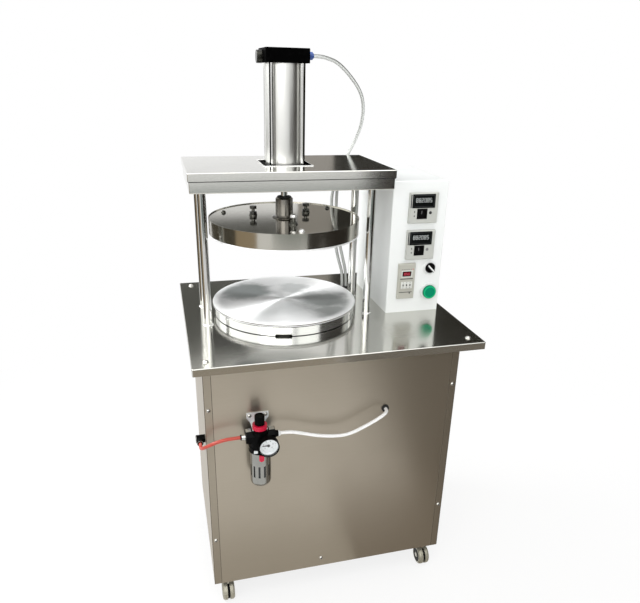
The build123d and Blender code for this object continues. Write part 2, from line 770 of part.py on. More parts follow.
with BuildPart() as table_top:
    with BuildSketch(Plane.XY.offset(TABLE_TOP - TABLE_LIP)):
        RectangleRounded(TABLE_W, TABLE_D, TABLE_CORNER)
    extrude(amount=TABLE_LIP)
    fillet(faces().sort_by(Axis.Z)[-1].edges(), TABLE_ROLL)
    offset(amount=-TABLE_SHEET, openings=faces().sort_by(Axis.Z)[0])
    bore_down(COLUMN_SPOTS, TABLE_TOP, COLUMN_R + SEAM, TABLE_SHEET)
    bore_down(TABLE_SCREW_SPOTS, TABLE_TOP, TABLE_SCREW_R + SEAT, TABLE_SHEET)
    bore_down([(BOX_X, BOX_Y)], TABLE_TOP, CABLE_HOLE_R, TABLE_SHEET)
    with BuildSketch(Plane.XY.offset(TABLE_TOP)):
        with Locations((TABLE_GROMMET_X, TABLE_GROMMET_Y)):
            SlotOverall(
                TABLE_GROMMET_W - 2 * (TABLE_GROMMET_NECK - SEAT),
                TABLE_GROMMET_D - 2 * (TABLE_GROMMET_NECK - SEAT),
            )
    extrude(amount=-TABLE_SHEET, mode=Mode.SUBTRACT)
finish(table_top, "table_top")

with BuildPart() as cabinet_screws:
    for x, z in STRIP_SCREW_SPOTS:
        shank = PANEL_SHEET + ANGLE_T + SCREW_END
        dome_screw(forward(x, PANEL_FRONT, z), SCREW_HEAD_R, SCREW_HEAD_H, SCREW_R, shank)
        dome_screw(rearward(x, -PANEL_FRONT, z), SCREW_HEAD_R, SCREW_HEAD_H, SCREW_R, shank)
    dome_screw(
        forward(KICK_SCREW_X, PANEL_FRONT, KICK_SCREW_Z), SCREW_HEAD_R, SCREW_HEAD_H, SCREW_R, shank
    )
    for x, z in BRACKET_SCREW_SPOTS:
        shank = BRACKET_T + PANEL_SHEET + SCREW_END
        dome_screw(
            forward(x, PANEL_FRONT - BRACKET_T, z), SCREW_HEAD_R, SCREW_HEAD_H, SCREW_R, shank
        )
    for x, y in TABLE_SCREW_SPOTS:
        shank = TABLE_SHEET + TABLE_NUT_H + STUD_END
        dome_screw(
            upright(x, y, TABLE_TOP), TABLE_SCREW_HEAD_R, TABLE_SCREW_HEAD_H, TABLE_SCREW_R, shank
        )
    hexagons(
        Plane.XY.offset(UNDER_TABLE - TABLE_NUT_H),
        TABLE_SCREW_SPOTS,
        TABLE_NUT_AF,
        TABLE_NUT_H,
        TABLE_SCREW_R + SEAT,
    )
finish(cabinet_screws, "cabinet_screws")

# Casters

WHEEL_FACE = WHEEL_GAP + WHEEL_WIDTH
SWIVEL_TOP = CABINET_FOOT - PLAY
STEM_HEAD_BOTTOM = CABINET_FOOT + GUSSET_T + PLAY

for side_y, end in zip(SIDES, ("front", "rear")):
    for side_x, hand in zip(SIDES, ("left", "right")):
        swivel_x = side_x * CASTER_X
        swivel_y = side_y * CASTER_Y
        axle_y = swivel_y - CASTER_TRAIL

        with BuildPart() as caster_fork:
            with BuildSketch(Plane.YZ.offset(swivel_x)):
                with Locations((axle_y, WHEEL_R)):
                    Circle(FORK_EYE_R)
                with Locations((swivel_y, SWIVEL_TOP - SWIVEL_H / 2)):
                    Rectangle(2 * SWIVEL_R, SWIVEL_H)
                make_hull()
            extrude(amount=FORK_WEB / 2, both=True)
            turned(
                upright(swivel_x, swivel_y),
                [
                    (0, SWIVEL_TOP - SWIVEL_H),
                    (SWIVEL_R, SWIVEL_TOP - SWIVEL_H),
                    (SWIVEL_R, SWIVEL_TOP),
                    (STEM_R, SWIVEL_TOP),
                    (STEM_R, STEM_HEAD_BOTTOM),
                    (STEM_HEAD_R, STEM_HEAD_BOTTOM),
                    (STEM_HEAD_R, STEM_HEAD_BOTTOM + STEM_HEAD_H),
                    (0, STEM_HEAD_BOTTOM + STEM_HEAD_H),
                ],
            )
            with Locations(Location((swivel_x, axle_y, WHEEL_R), (0, 90, 0))):
                Cylinder(AXLE_R + RUN_FIT, 2 * FORK_WEB, mode=Mode.SUBTRACT)
        finish(caster_fork, f"caster_fork_{end}_{hand}")

        with BuildPart() as caster_wheels:
            turned(
                sideways(swivel_x, axle_y, WHEEL_R, 1),
                [
                    (0, 0),
                    (AXLE_R, 0),
                    (AXLE_R, WHEEL_GAP),
                    (WHEEL_R, WHEEL_GAP),
                    (WHEEL_R, WHEEL_FACE),
                    (WHEEL_R - WHEEL_RIM, WHEEL_FACE),
                    (WHEEL_R - WHEEL_RIM, WHEEL_FACE - WHEEL_DISH),
                    (WHEEL_HUB_R, WHEEL_FACE - WHEEL_DISH),
                    (WHEEL_HUB_R, WHEEL_FACE),
                    (0, WHEEL_FACE),
                ],
            )
            tread = edges().filter_by(GeomType.CIRCLE).group_by(SortBy.RADIUS)[-1]
            fillet(tread.sort_by(Axis.X)[-1], WHEEL_ROUND)
            mirror(about=Plane.YZ.offset(swivel_x))
        finish(caster_wheels, f"caster_wheels_{end}_{hand}")

# Press bed, columns and crosshead

with BuildPart() as press_bed:
    with BuildSketch(Plane.XY.offset(BED_BOTTOM)):
        with Locations((PRESS_X, PRESS_Y)):
            Rectangle(COLUMN_PITCH_X + 2 * BED_MARGIN, COLUMN_PITCH_Y + 2 * BED_MARGIN)
        with Locations(*COLUMN_SPOTS):
            Circle(STUD_R + SEAT, mode=Mode.SUBTRACT)
    extrude(amount=BED_T)
finish(press_bed, "press_bed")

with BuildPart() as guide_columns:
    for x, y in COLUMN_SPOTS:
        turned(
            upright(x, y),
            [
                (0, BED_BOTTOM),
                (STUD_R, BED_BOTTOM),
                (STUD_R, UNDER_TABLE),
                (COLUMN_R, UNDER_TABLE),
                (COLUMN_R, CROSS_PLATE_BOTTOM),
                (STUD_R, CROSS_PLATE_BOTTOM),
                (STUD_R, CROSS_PLATE_TOP + COLUMN_NUT_H + STUD_END),
                (0, CROSS_PLATE_TOP + COLUMN_NUT_H + STUD_END),
            ],
        )
    hexagons(
        Plane.XY.offset(CROSS_PLATE_TOP), COLUMN_SPOTS, COLUMN_NUT_AF, COLUMN_NUT_H, STUD_R + SEAT
    )
finish(guide_columns, "guide_columns")

with BuildPart() as crosshead_plate:
    with BuildSketch(Plane.XY.offset(CROSS_PLATE_BOTTOM)):
        with Locations((PRESS_X, PRESS_Y)):
            Rectangle(CROSS_PLATE_W, CROSS_PLATE_D)
            Circle(NOSE_R + SEAT, mode=Mode.SUBTRACT)
        with Locations(*COLUMN_SPOTS):
            Circle(STUD_R + SEAT, mode=Mode.SUBTRACT)
        with Locations(*TIE_ROD_SPOTS):
            Circle(TIE_ROD_R + SEAT, mode=Mode.SUBTRACT)
    extrude(amount=CROSS_PLATE_T)
finish(crosshead_plate, "crosshead_plate")

with BuildPart() as crosshead_tray:
    with BuildSketch(Plane.XY.offset(TRAY_BOTTOM)):
        with Locations((PRESS_X, PRESS_Y)):
            RectangleRounded(TRAY_W, TRAY_D, FOLD_CORNER)
    extrude(amount=CROSSHEAD_H - FOLD_SHEET)
    fillet(faces().sort_by(Axis.Z)[0].edges(), FOLD_CORNER)
    offset(amount=-FOLD_SHEET, openings=faces().sort_by(Axis.Z)[-1])
    bore_down(COLUMN_SPOTS, CROSS_PLATE_BOTTOM, COLUMN_R + SEAM, FOLD_SHEET)
    bore_down([(PRESS_X, PRESS_Y)], CROSS_PLATE_BOTTOM, NOSE_R + SEAM, FOLD_SHEET)
    bore_down([(BULKHEAD_X, BULKHEAD_Y)], CROSS_PLATE_BOTTOM, THREAD_R + SEAT, FOLD_SHEET)
finish(crosshead_tray, "crosshead_tray")

with BuildPart() as crosshead_cover:
    with BuildSketch(Plane.XY.offset(COVER_TOP - COVER_LIP)):
        with Locations((PRESS_X, PRESS_Y)):
            RectangleRounded(CROSSHEAD_W, CROSSHEAD_D, FOLD_CORNER)
    extrude(amount=COVER_LIP)
    fillet(faces().sort_by(Axis.Z)[-1].edges(), FOLD_CORNER)
    offset(amount=-FOLD_SHEET, openings=faces().sort_by(Axis.Z)[0])
    with BuildSketch(Plane.XY.offset(COVER_TOP)):
        with Locations((PRESS_X, PRESS_Y)):
            Rectangle(CYLINDER_OPENING, CYLINDER_OPENING)
    extrude(amount=-FOLD_SHEET, mode=Mode.SUBTRACT)
finish(crosshead_cover, "crosshead_cover")

# Air cylinder

with BuildPart() as cylinder_front_cap:
    with BuildSketch(Plane.XY.offset(CROSS_PLATE_TOP)):
        with Locations((PRESS_X, PRESS_Y)):
            RectangleRounded(CAP_SIDE, CAP_SIDE, CAP_CORNER)
    extrude(amount=CAP_H)
    turned(
        upright(PRESS_X, PRESS_Y),
        [
            (0, TRAY_BOTTOM - NOSE_DROP),
            (NOSE_R, TRAY_BOTTOM - NOSE_DROP),
            (NOSE_R, CROSS_PLATE_TOP),
            (0, CROSS_PLATE_TOP),
        ],
    )
    nose_length = TUBE_BOTTOM - TRAY_BOTTOM + NOSE_DROP
    bore_down([(PRESS_X, PRESS_Y)], TUBE_BOTTOM, ROD_R + RUN_FIT, nose_length)
    bore_down(TIE_ROD_SPOTS, TUBE_BOTTOM, TIE_ROD_R + SEAT, CAP_H)
    with Locations(Location((PRESS_X + CAP_SIDE / 2, PRESS_Y, FRONT_PORT_Z), (0, 90, 0))):
        Cylinder(PIPE_R + SEAT, 2 * THREAD_L, mode=Mode.SUBTRACT)
finish(cylinder_front_cap, "cylinder_front_cap")

with BuildPart() as cylinder_tube:
    with BuildSketch(Plane.XY.offset(TUBE_BOTTOM)):
        with Locations((PRESS_X, PRESS_Y)):
            Circle(BORE_R + TUBE_WALL)
            Circle(BORE_R, mode=Mode.SUBTRACT)
    extrude(amount=TUBE_TOP - TUBE_BOTTOM)
finish(cylinder_tube, "cylinder_tube")

with BuildPart() as cylinder_rear_cap:
    with BuildSketch(Plane.XY.offset(TUBE_TOP)):
        with Locations((PRESS_X, PRESS_Y)):
            RectangleRounded(CAP_SIDE, CAP_SIDE, CAP_CORNER)
    extrude(amount=CAP_H)
    fillet(faces().sort_by(Axis.Z)[-1].edges(), CAP_CORNER / 2)
    bore_down(TIE_ROD_SPOTS, CAP_TOP, TIE_ROD_R + SEAT, CAP_H)
    bore_down(TIE_ROD_SPOTS, CAP_TOP, TIE_NUT_WELL_R, TIE_NUT_WELL)
    for side, port_z in zip(SIDES, (CAP_PLUG_Z, CAP_PORT_Z)):
        with Locations(Location((PRESS_X + side * CAP_SIDE / 2, PRESS_Y, port_z), (0, 90, 0))):
            Cylinder(THREAD_R + SEAT, 2 * THREAD_L, mode=Mode.SUBTRACT)
finish(cylinder_rear_cap, "cylinder_rear_cap")

with BuildPart() as tie_rods:
    nut_bottom = CAP_TOP - TIE_NUT_WELL
    with BuildSketch(Plane.XY.offset(CROSS_PLATE_BOTTOM)):
        with Locations(*TIE_ROD_SPOTS):
            Circle(TIE_ROD_R)
    extrude(amount=CAP_TOP - TIE_ROD_SUNK - CROSS_PLATE_BOTTOM)
    hexagons(Plane.XY.offset(nut_bottom), TIE_ROD_SPOTS, TIE_NUT_AF, TIE_NUT_H, TIE_ROD_R + SEAT)
finish(tie_rods, "tie_rods")

with BuildPart() as piston:
    piston_r = BORE_R - PISTON_GAP
    turned(
        upright(PRESS_X, PRESS_Y, PISTON_BOTTOM),
        [
            (0, 0),
            (piston_r, 0),
            (piston_r, PISTON_H / 2 - PISTON_GROOVE),
            (piston_r - PISTON_GROOVE, PISTON_H / 2 - PISTON_GROOVE),
            (piston_r - PISTON_GROOVE, PISTON_H / 2 + PISTON_GROOVE),
            (piston_r, PISTON_H / 2 + PISTON_GROOVE),
            (piston_r, PISTON_H),
            (0, PISTON_H),
        ],
    )
finish(piston, "piston")

with BuildPart() as piston_rod:
    turned(
        upright(PRESS_X, PRESS_Y),
        [
            (0, ROD_END),
            (ROD_THREAD_R, ROD_END),
            (ROD_THREAD_R, TRAY_BOTTOM + ROD_SHOULDER),
            (ROD_R, TRAY_BOTTOM + ROD_SHOULDER),
            (ROD_R, PISTON_BOTTOM),
            (0, PISTON_BOTTOM),
        ],
    )
finish(piston_rod, "piston_rod")

# Lower platen

with BuildPart() as lower_platen:
    turned(
        upright(PRESS_X, PRESS_Y),
        [
            (0, LOWER_CORE_BOTTOM),
            (LOWER_CORE_R, LOWER_CORE_BOTTOM),
            (LOWER_CORE_R, LOWER_CORE_TOP),
            (LOWER_R, LOWER_CORE_TOP),
            (LOWER_R, LOWER_TOP),
            (0, LOWER_TOP),
        ],
    )
    fillet(edges().filter_by(GeomType.CIRCLE).group_by(Axis.Z)[-1], LOWER_EDGE_ROUND)
    with BuildSketch(Plane.XY.offset(TABLE_TOP)):
        with Locations((PRESS_X, PRESS_Y)):
            with PolarLocations(FOOT_CIRCLE_R, FOOT_COUNT, start_angle=180 / FOOT_COUNT):
                Circle(FOOT_R)
    extrude(amount=FOOT_H)
finish(lower_platen, "lower_platen")

with BuildPart() as lower_band:
    with BuildSketch(Plane.XY.offset(TABLE_TOP + BAND_GAP)):
        with Locations((PRESS_X, PRESS_Y)):
            Circle(BAND_R)
            Circle(BAND_R - BAND_SHEET, mode=Mode.SUBTRACT)
    extrude(amount=LOWER_CORE_TOP - TABLE_TOP - BAND_GAP)
    with Locations(Location((PRESS_X, PRESS_Y, TABLE_TOP + BAND_GAP), (0, 0, BAND_NOTCH_TURN))):
        with Locations((0, -BAND_R, 0)):
            Box(BAND_NOTCH_W, BAND_NOTCH_W, BAND_NOTCH_H, align=MIN_Z, mode=Mode.SUBTRACT)
finish(lower_band, "lower_band")

with BuildPart() as lower_heater:
    heater_rings((LOWER_HEATER_INNER_R, LOWER_HEATER_OUTER_R), LOWER_CORE_BOTTOM - HEATER_R)
finish(lower_heater, "lower_heater")

# Upper platen, which the piston rod carries

with BuildPart() as upper_platen:
    turned(
        upright(PRESS_X, PRESS_Y),
        [
            (0, UPPER_BOTTOM),
            (UPPER_R, UPPER_BOTTOM),
            (UPPER_R, PAN_BOTTOM),
            (UPPER_R - UPPER_CORE_INSET, PAN_BOTTOM),
            (UPPER_R - UPPER_CORE_INSET, UPPER_TOP),
            (0, UPPER_TOP),
        ],
    )
    with Locations((PRESS_X, PRESS_Y, UPPER_TOP - BOLT_DEPTH)):
        with PolarLocations(LEVEL_CIRCLE_R, BOLT_COUNT, start_angle=LEVEL_START):
            Cylinder(LEVEL_R + SEAT, BOLT_DEPTH, align=MIN_Z, mode=Mode.SUBTRACT)
        with PolarLocations(DOME_CIRCLE_R, BOLT_COUNT, start_angle=DOME_START):
            Cylinder(DOME_STUD_R + SEAT, BOLT_DEPTH, align=MIN_Z, mode=Mode.SUBTRACT)
finish(upper_platen, "upper_platen")

with BuildPart() as upper_cover:
    pan_inside = UPPER_R - PAN_SHEET
    turned(
        upright(PRESS_X, PRESS_Y),
        [
            (COUPLING_R + CLEAR, PAN_FLOOR - PAN_SHEET),
            (pan_inside, PAN_FLOOR - PAN_SHEET),
            (pan_inside, PAN_BOTTOM),
            (UPPER_R, PAN_BOTTOM),
            (UPPER_R, PAN_TOP),
            (pan_inside, PAN_TOP),
            (pan_inside, PAN_FLOOR),
            (COUPLING_R + CLEAR, PAN_FLOOR),
        ],
    )
    with Locations((PRESS_X, PRESS_Y, PAN_FLOOR - PAN_SHEET)):
        with PolarLocations(LEVEL_CIRCLE_R, BOLT_COUNT, start_angle=LEVEL_START):
            Cylinder(LEVEL_R + SEAT, PAN_SHEET, align=MIN_Z, mode=Mode.SUBTRACT)
        with PolarLocations(DOME_CIRCLE_R, BOLT_COUNT, start_angle=DOME_START):
            Cylinder(DOME_STUD_R + SEAT, PAN_SHEET, align=MIN_Z, mode=Mode.SUBTRACT)
finish(upper_cover, "upper_cover")

with BuildPart() as upper_heater:
    heater_rings((UPPER_HEATER_INNER_R, UPPER_HEATER_OUTER_R), UPPER_TOP + HEATER_R)
finish(upper_heater, "upper_heater")

with BuildPart() as rod_coupling:
    bore_r = ROD_THREAD_R + SEAT
    turned(
        upright(PRESS_X, PRESS_Y, UPPER_TOP),
        [
            (0, 0),
            (FLANGE_R, 0),
            (FLANGE_R, FLANGE_T),
            (COUPLING_R, FLANGE_T),
            (COUPLING_R, COUPLING_H - COUPLING_CHAMFER),
            (COUPLING_R - COUPLING_CHAMFER, COUPLING_H),
            (COUPLING_WELL_R, COUPLING_H),
            (COUPLING_WELL_R, COUPLING_H - COUPLING_WELL),
            (bore_r, COUPLING_H - COUPLING_WELL),
            (bore_r, COUPLING_BORE_FLOOR),
            (0, COUPLING_BORE_FLOOR),
        ],
    )
finish(rod_coupling, "rod_coupling")

with BuildPart() as platen_bolts:
    bolt_bottom = UPPER_TOP - BOLT_DEPTH
    for number in range(BOLT_COUNT):
        turn = radians(LEVEL_START + number * FULL_TURN / BOLT_COUNT)
        level_x = PRESS_X + LEVEL_CIRCLE_R * cos(turn)
        level_y = PRESS_Y + LEVEL_CIRCLE_R * sin(turn)
        nut_z = PAN_FLOOR + LEVEL_WASHER_T
        turned(
            upright(level_x, level_y),
            [
                (0, bolt_bottom),
                (LEVEL_R, bolt_bottom),
                (LEVEL_R, PAN_FLOOR),
                (LEVEL_WASHER_R, PAN_FLOOR),
                (LEVEL_WASHER_R, nut_z),
                (LEVEL_R, nut_z),
                (LEVEL_R, PAN_FLOOR + LEVEL_RISE),
                (0, PAN_FLOOR + LEVEL_RISE),
            ],
        )
        level_spot = [(level_x, level_y)]
        head_z = PAN_FLOOR + LEVEL_RISE - LEVEL_HEAD_H
        hexagons(Plane.XY.offset(nut_z), level_spot, LEVEL_NUT_AF, LEVEL_NUT_H)
        hexagons(Plane.XY.offset(head_z), level_spot, LEVEL_NUT_AF, LEVEL_HEAD_H)
        turn = radians(DOME_START + number * FULL_TURN / BOLT_COUNT)
        dome_x = PRESS_X + DOME_CIRCLE_R * cos(turn)
        dome_y = PRESS_Y + DOME_CIRCLE_R * sin(turn)
        dome_screw(
            upright(dome_x, dome_y, PAN_FLOOR), DOME_R, DOME_H, DOME_STUD_R, PAN_FLOOR - bolt_bottom
        )
finish(platen_bolts, "platen_bolts")

# Control box

with BuildPart() as control_box:
    with BuildSketch(Plane.XY.offset(TABLE_TOP)):
        with Locations((BOX_X, BOX_Y)):
            RectangleRounded(BOX_W, BOX_D, BOX_ROUND)
    extrude(amount=BOX_H)
    fillet(faces().sort_by(Axis.Z)[-1].edges(), BOX_ROUND)
    offset(amount=-BOX_SHEET, openings=faces().sort_by(Axis.Z)[0])
    with BuildSketch(BOX_FACE):
        with Locations(*CONTROLLER_SPOTS):
            Rectangle(CONTROLLER_BODY + 2 * CLEAR, CONTROLLER_BODY + 2 * CLEAR)
        with Locations(TIMER_SPOT):
            Rectangle(TIMER_BODY_W + 2 * CLEAR, TIMER_BODY_H + 2 * CLEAR)
        with Locations(SELECTOR_SPOT):
            Circle(SELECTOR_BARREL_R + CLEAR)
        with Locations(BUTTON_SPOT):
            Circle(BUTTON_BARREL_R + CLEAR)
    extrude(amount=-BOX_SHEET, mode=Mode.SUBTRACT)
finish(control_box, "control_box")

with BuildPart() as temperature_controllers:
    with BuildSketch(BOX_FACE):
        with Locations(*CONTROLLER_SPOTS):
            Rectangle(CONTROLLER_SIDE, CONTROLLER_SIDE)
    extrude(amount=CONTROLLER_BEZEL)
    chamfer(faces().group_by(Axis.Y)[0].edges(), CONTROLLER_CHAMFER)
    with BuildSketch(BOX_FACE):
        with Locations(*CONTROLLER_SPOTS):
            Rectangle(CONTROLLER_BODY, CONTROLLER_BODY)
    extrude(amount=-CONTROLLER_DEPTH)
    with BuildSketch(BOX_FACE.offset(CONTROLLER_BEZEL)):
        with Locations(*WINDOW_SPOTS):
            Rectangle(WINDOW_W, WINDOW_H)
    extrude(amount=-WINDOW_DEPTH, mode=Mode.SUBTRACT)
    with BuildSketch(BOX_FACE.offset(CONTROLLER_BEZEL)):
        with Locations(*DIAL_SPOTS):
            Rectangle(DIAL_WELL_W, DIAL_WELL_H)
    extrude(amount=-DIAL_WELL, mode=Mode.SUBTRACT)
    with BuildSketch(BOX_FACE.offset(DIAL_FLOOR)):
        with Locations(*DIAL_SPOTS):
            Circle(DIAL_SHAFT_R + RUN_FIT)
    extrude(amount=-DIAL_SHAFT_L, mode=Mode.SUBTRACT)
finish(temperature_controllers, "temperature_controllers")

for (dial_x, dial_z), name in zip(DIAL_SPOTS, ("upper_set_dial", "lower_set_dial")):
    with BuildPart() as set_dial:
        dial_back = DIAL_FLOOR + CLEAR
        turned(
            forward(dial_x, BOX_FRONT, dial_z),
            [
                (0, dial_back - DIAL_SHAFT_L),
                (DIAL_SHAFT_R, dial_back - DIAL_SHAFT_L),
                (DIAL_SHAFT_R, dial_back),
                (DIAL_R, dial_back),
                (DIAL_R, dial_back + DIAL_H),
                (0, dial_back + DIAL_H),
            ],
        )
        with BuildSketch(BOX_FACE.offset(dial_back + DIAL_H)):
            with Locations((dial_x, dial_z + DIAL_R - DIAL_MARK_L / 2)):
                Rectangle(DIAL_MARK_W, DIAL_MARK_L)
        extrude(amount=-DIAL_MARK_DEPTH, mode=Mode.SUBTRACT)
    finish(set_dial, name)

with BuildPart() as timer:
    timer_x, timer_z = TIMER_SPOT
    with BuildSketch(BOX_FACE):
        with Locations(TIMER_SPOT):
            Rectangle(TIMER_W, TIMER_H)
    extrude(amount=TIMER_BEZEL)
    chamfer(faces().sort_by(Axis.Y)[0].edges(), TIMER_CHAMFER)
    with BuildSketch(BOX_FACE):
        with Locations(TIMER_SPOT):
            Rectangle(TIMER_BODY_W, TIMER_BODY_H)
    extrude(amount=-TIMER_DEPTH)
    with BuildSketch(BOX_FACE.offset(TIMER_BEZEL)):
        with Locations((timer_x, timer_z + DISPLAY_RISE)):
            Rectangle(DISPLAY_W, DISPLAY_H)
    extrude(amount=-WINDOW_DEPTH, mode=Mode.SUBTRACT)
    with BuildSketch(BOX_FACE.offset(TIMER_BEZEL)):
        with Locations((timer_x, timer_z + KEY_BLOCK_RISE)):
            Rectangle(KEY_BLOCK_W, KEY_BLOCK_H)
            with GridLocations(KEY_PITCH, 1, KEY_COUNT, 1):
                Rectangle(KEY_SLOT_W, KEY_SLOT_H, mode=Mode.SUBTRACT)
    extrude(amount=KEY_BLOCK_T)
finish(timer, "timer")

with BuildPart() as switch_bezels:
    turned(
        forward(SELECTOR_SPOT[0], BOX_FRONT, SELECTOR_SPOT[1]),
        [
            (SELECTOR_SHAFT_R + RUN_FIT, -SELECTOR_BARREL_L),
            (SELECTOR_BARREL_R, -SELECTOR_BARREL_L),
            (SELECTOR_BARREL_R, 0),
            (SELECTOR_RING_R, 0),
            (SELECTOR_RING_R, SELECTOR_RING_T),
            (SELECTOR_R + CLEAR, SELECTOR_RING_T),
            (SELECTOR_R + CLEAR, SWITCH_FLOOR),
            (SELECTOR_SHAFT_R + RUN_FIT, SWITCH_FLOOR),
        ],
    )
    turned(
        forward(BUTTON_SPOT[0], BOX_FRONT, BUTTON_SPOT[1]),
        [
            (BUTTON_STEM_R + RUN_FIT, -BUTTON_BARREL_L),
            (BUTTON_BARREL_R, -BUTTON_BARREL_L),
            (BUTTON_BARREL_R, 0),
            (BUTTON_BORE_R + BUTTON_RING, 0),
            (BUTTON_BORE_R + BUTTON_RING, BUTTON_RING_T),
            (BUTTON_BORE_R, BUTTON_RING_T),
            (BUTTON_BORE_R, SWITCH_FLOOR),
            (BUTTON_STEM_R + RUN_FIT, SWITCH_FLOOR),
        ],
    )
finish(switch_bezels, "switch_bezels")

with BuildPart() as selector_knob:
    knob_back = SWITCH_FLOOR + CLEAR
    turned(
        forward(SELECTOR_SPOT[0], BOX_FRONT, SELECTOR_SPOT[1]),
        [
            (0, knob_back - SELECTOR_SHAFT_L),
            (SELECTOR_SHAFT_R, knob_back - SELECTOR_SHAFT_L),
            (SELECTOR_SHAFT_R, knob_back),
            (SELECTOR_R, knob_back),
            (SELECTOR_R, knob_back + SELECTOR_H),
            (0, knob_back + SELECTOR_H),
        ],
    )
    with BuildSketch(BOX_FACE.offset(knob_back + SELECTOR_H)):
        with Locations(SELECTOR_SPOT):
            SlotOverall(2 * SELECTOR_R, SELECTOR_GRIP_W, rotation=SELECTOR_GRIP_TURN)
    extrude(amount=SELECTOR_GRIP_H)
finish(selector_knob, "selector_knob")

with BuildPart() as start_button:
    cap_back = SWITCH_FLOOR + CLEAR + BUTTON_TRAVEL
    cap_front = BUTTON_RING_T + BUTTON_PROUD
    turned(
        forward(BUTTON_SPOT[0], BOX_FRONT, BUTTON_SPOT[1]),
        [
            (0, cap_back - BUTTON_STEM_L),
            (BUTTON_STEM_R, cap_back - BUTTON_STEM_L),
            (BUTTON_STEM_R, cap_back),
            (BUTTON_R, cap_back),
            (BUTTON_R, cap_front),
            (0, cap_front),
        ],
    )
    fillet(edges().filter_by(GeomType.CIRCLE).sort_by(Axis.Y)[0], BUTTON_ROUND)
finish(start_button, "start_button")

# Filter and regulator

with BuildPart() as regulator_bracket:
    with BuildSketch(Plane.XY.offset(REG_TOP)):
        with Locations((REG_X, REG_Y - BRACKET_NOSE)):
            Rectangle(BRACKET_W, REG_REACH + BRACKET_NOSE, align=(Align.CENTER, Align.MIN))
        with Locations((REG_X, REG_Y)):
            Circle(NECK_R + SEAM, mode=Mode.SUBTRACT)
    extrude(amount=BRACKET_T)
    with BuildSketch(FRONT_FACE):
        with BuildLine(mode=Mode.PRIVATE) as ear_outline:
            Polyline(
                (REG_X, REG_TOP),
                (REG_X + BRACKET_W / 2, REG_TOP),
                (REG_X + BRACKET_EAR_W / 2, REG_TOP + BRACKET_EAR_RISE),
                (REG_X + BRACKET_EAR_W / 2, REG_TOP + BRACKET_RISE),
                (REG_X, REG_TOP + BRACKET_RISE),
                close=True,
            )
        make_face(ear_outline.edges())
        mirror(about=Plane.YZ.offset(REG_X))
        with Locations(*BRACKET_SCREW_SPOTS):
            Circle(SCREW_R + SEAT, mode=Mode.SUBTRACT)
    extrude(amount=BRACKET_T)
finish(regulator_bracket, "regulator_bracket")

with BuildPart() as regulator_body:
    block_bottom = PORT_Z - PORT_BLOCK_H / 2
    block_top = PORT_Z + PORT_BLOCK_H / 2
    with BuildSketch(FRONT_FACE.offset(REG_REACH)):
        with BuildLine():
            Polyline(
                (REG_X - PORT_REACH, block_top),
                (REG_X + PORT_REACH, block_top),
                (REG_X + PORT_REACH, block_bottom + PORT_BLOCK_CORNER),
                (REG_X + PORT_REACH - PORT_BLOCK_CORNER, block_bottom),
                (REG_X - PORT_REACH + PORT_BLOCK_CORNER, block_bottom),
                (REG_X - PORT_REACH, block_bottom + PORT_BLOCK_CORNER),
                close=True,
            )
        make_face()
    extrude(amount=PORT_BLOCK_H / 2, both=True)
    chamfer(edges().filter_by(Axis.X), PORT_BLOCK_EDGE)
    turned(
        upright(REG_X, REG_Y),
        [
            (0, REG_BOTTOM),
            (REG_BODY_R, REG_BOTTOM),
            (REG_BODY_R, REG_BOTTOM + COLLAR_H),
            (BONNET_R + BONNET_SLOPE, block_top),
            (BONNET_R, REG_TOP),
            (NECK_R, REG_TOP),
            (NECK_R, LOCK_RING_TOP),
            (SPINDLE_R, LOCK_RING_TOP),
            (SPINDLE_R, LOCK_RING_TOP + SPINDLE_H),
            (0, LOCK_RING_TOP + SPINDLE_H),
        ],
    )
    boss_length = REG_Y - GAUGE_BACK - GAUGE_STEM_L
    turned(
        forward(GAUGE_X, REG_Y, GAUGE_Z),
        [(0, 0), (GAUGE_BOSS_R, 0), (GAUGE_BOSS_R, boss_length), (0, boss_length)],
    )
    for side in SIDES:
        with Locations(Location((REG_X + side * PORT_REACH, REG_Y, PORT_Z), (0, 90, 0))):
            Cylinder(THREAD_R + SEAT, 2 * THREAD_L, mode=Mode.SUBTRACT)
finish(regulator_body, "regulator_body")

with BuildPart() as lock_ring:
    turned(
        upright(REG_X, REG_Y, BRACKET_TOP),
        [
            (NECK_R + SEAT, 0),
            (LOCK_RING_R, 0),
            (LOCK_RING_R, LOCK_RING_H),
            (NECK_R + SEAT, LOCK_RING_H),
        ],
    )
    with Locations((REG_X, REG_Y, BRACKET_TOP)):
        with PolarLocations(LOCK_RING_R + FLUTE_R / 2, LOCK_RING_RIBS):
            Cylinder(FLUTE_R, LOCK_RING_H, align=MIN_Z, mode=Mode.SUBTRACT)
finish(lock_ring, "lock_ring")

with BuildPart() as regulator_knob:
    well = SPINDLE_H
    turned(
        upright(REG_X, REG_Y, KNOB_BOTTOM),
        [
            (SPINDLE_R + RUN_FIT, 0),
            (KNOB_R, 0),
            (KNOB_R, KNOB_H - KNOB_EDGE),
            (KNOB_R - KNOB_EDGE, KNOB_H),
            (KNOB_DISH_R, KNOB_H),
            (KNOB_DISH_R, KNOB_H - KNOB_DISH),
            (0, KNOB_H - KNOB_DISH),
            (0, well),
            (SPINDLE_R + RUN_FIT, well),
        ],
    )
    with Locations((REG_X, REG_Y, KNOB_BOTTOM)):
        with PolarLocations(KNOB_R + FLUTE_R / 2, KNOB_FLUTES):
            Cylinder(FLUTE_R, KNOB_H, align=MIN_Z, mode=Mode.SUBTRACT)
finish(regulator_knob, "regulator_knob")

LATCH_PLACE = Location((REG_X, REG_Y, LATCH_Z), (0, 0, LATCH_TURN))
TONGUE_SLOT_H = TONGUE_H + LATCH_TRAVEL + 2 * CLEAR

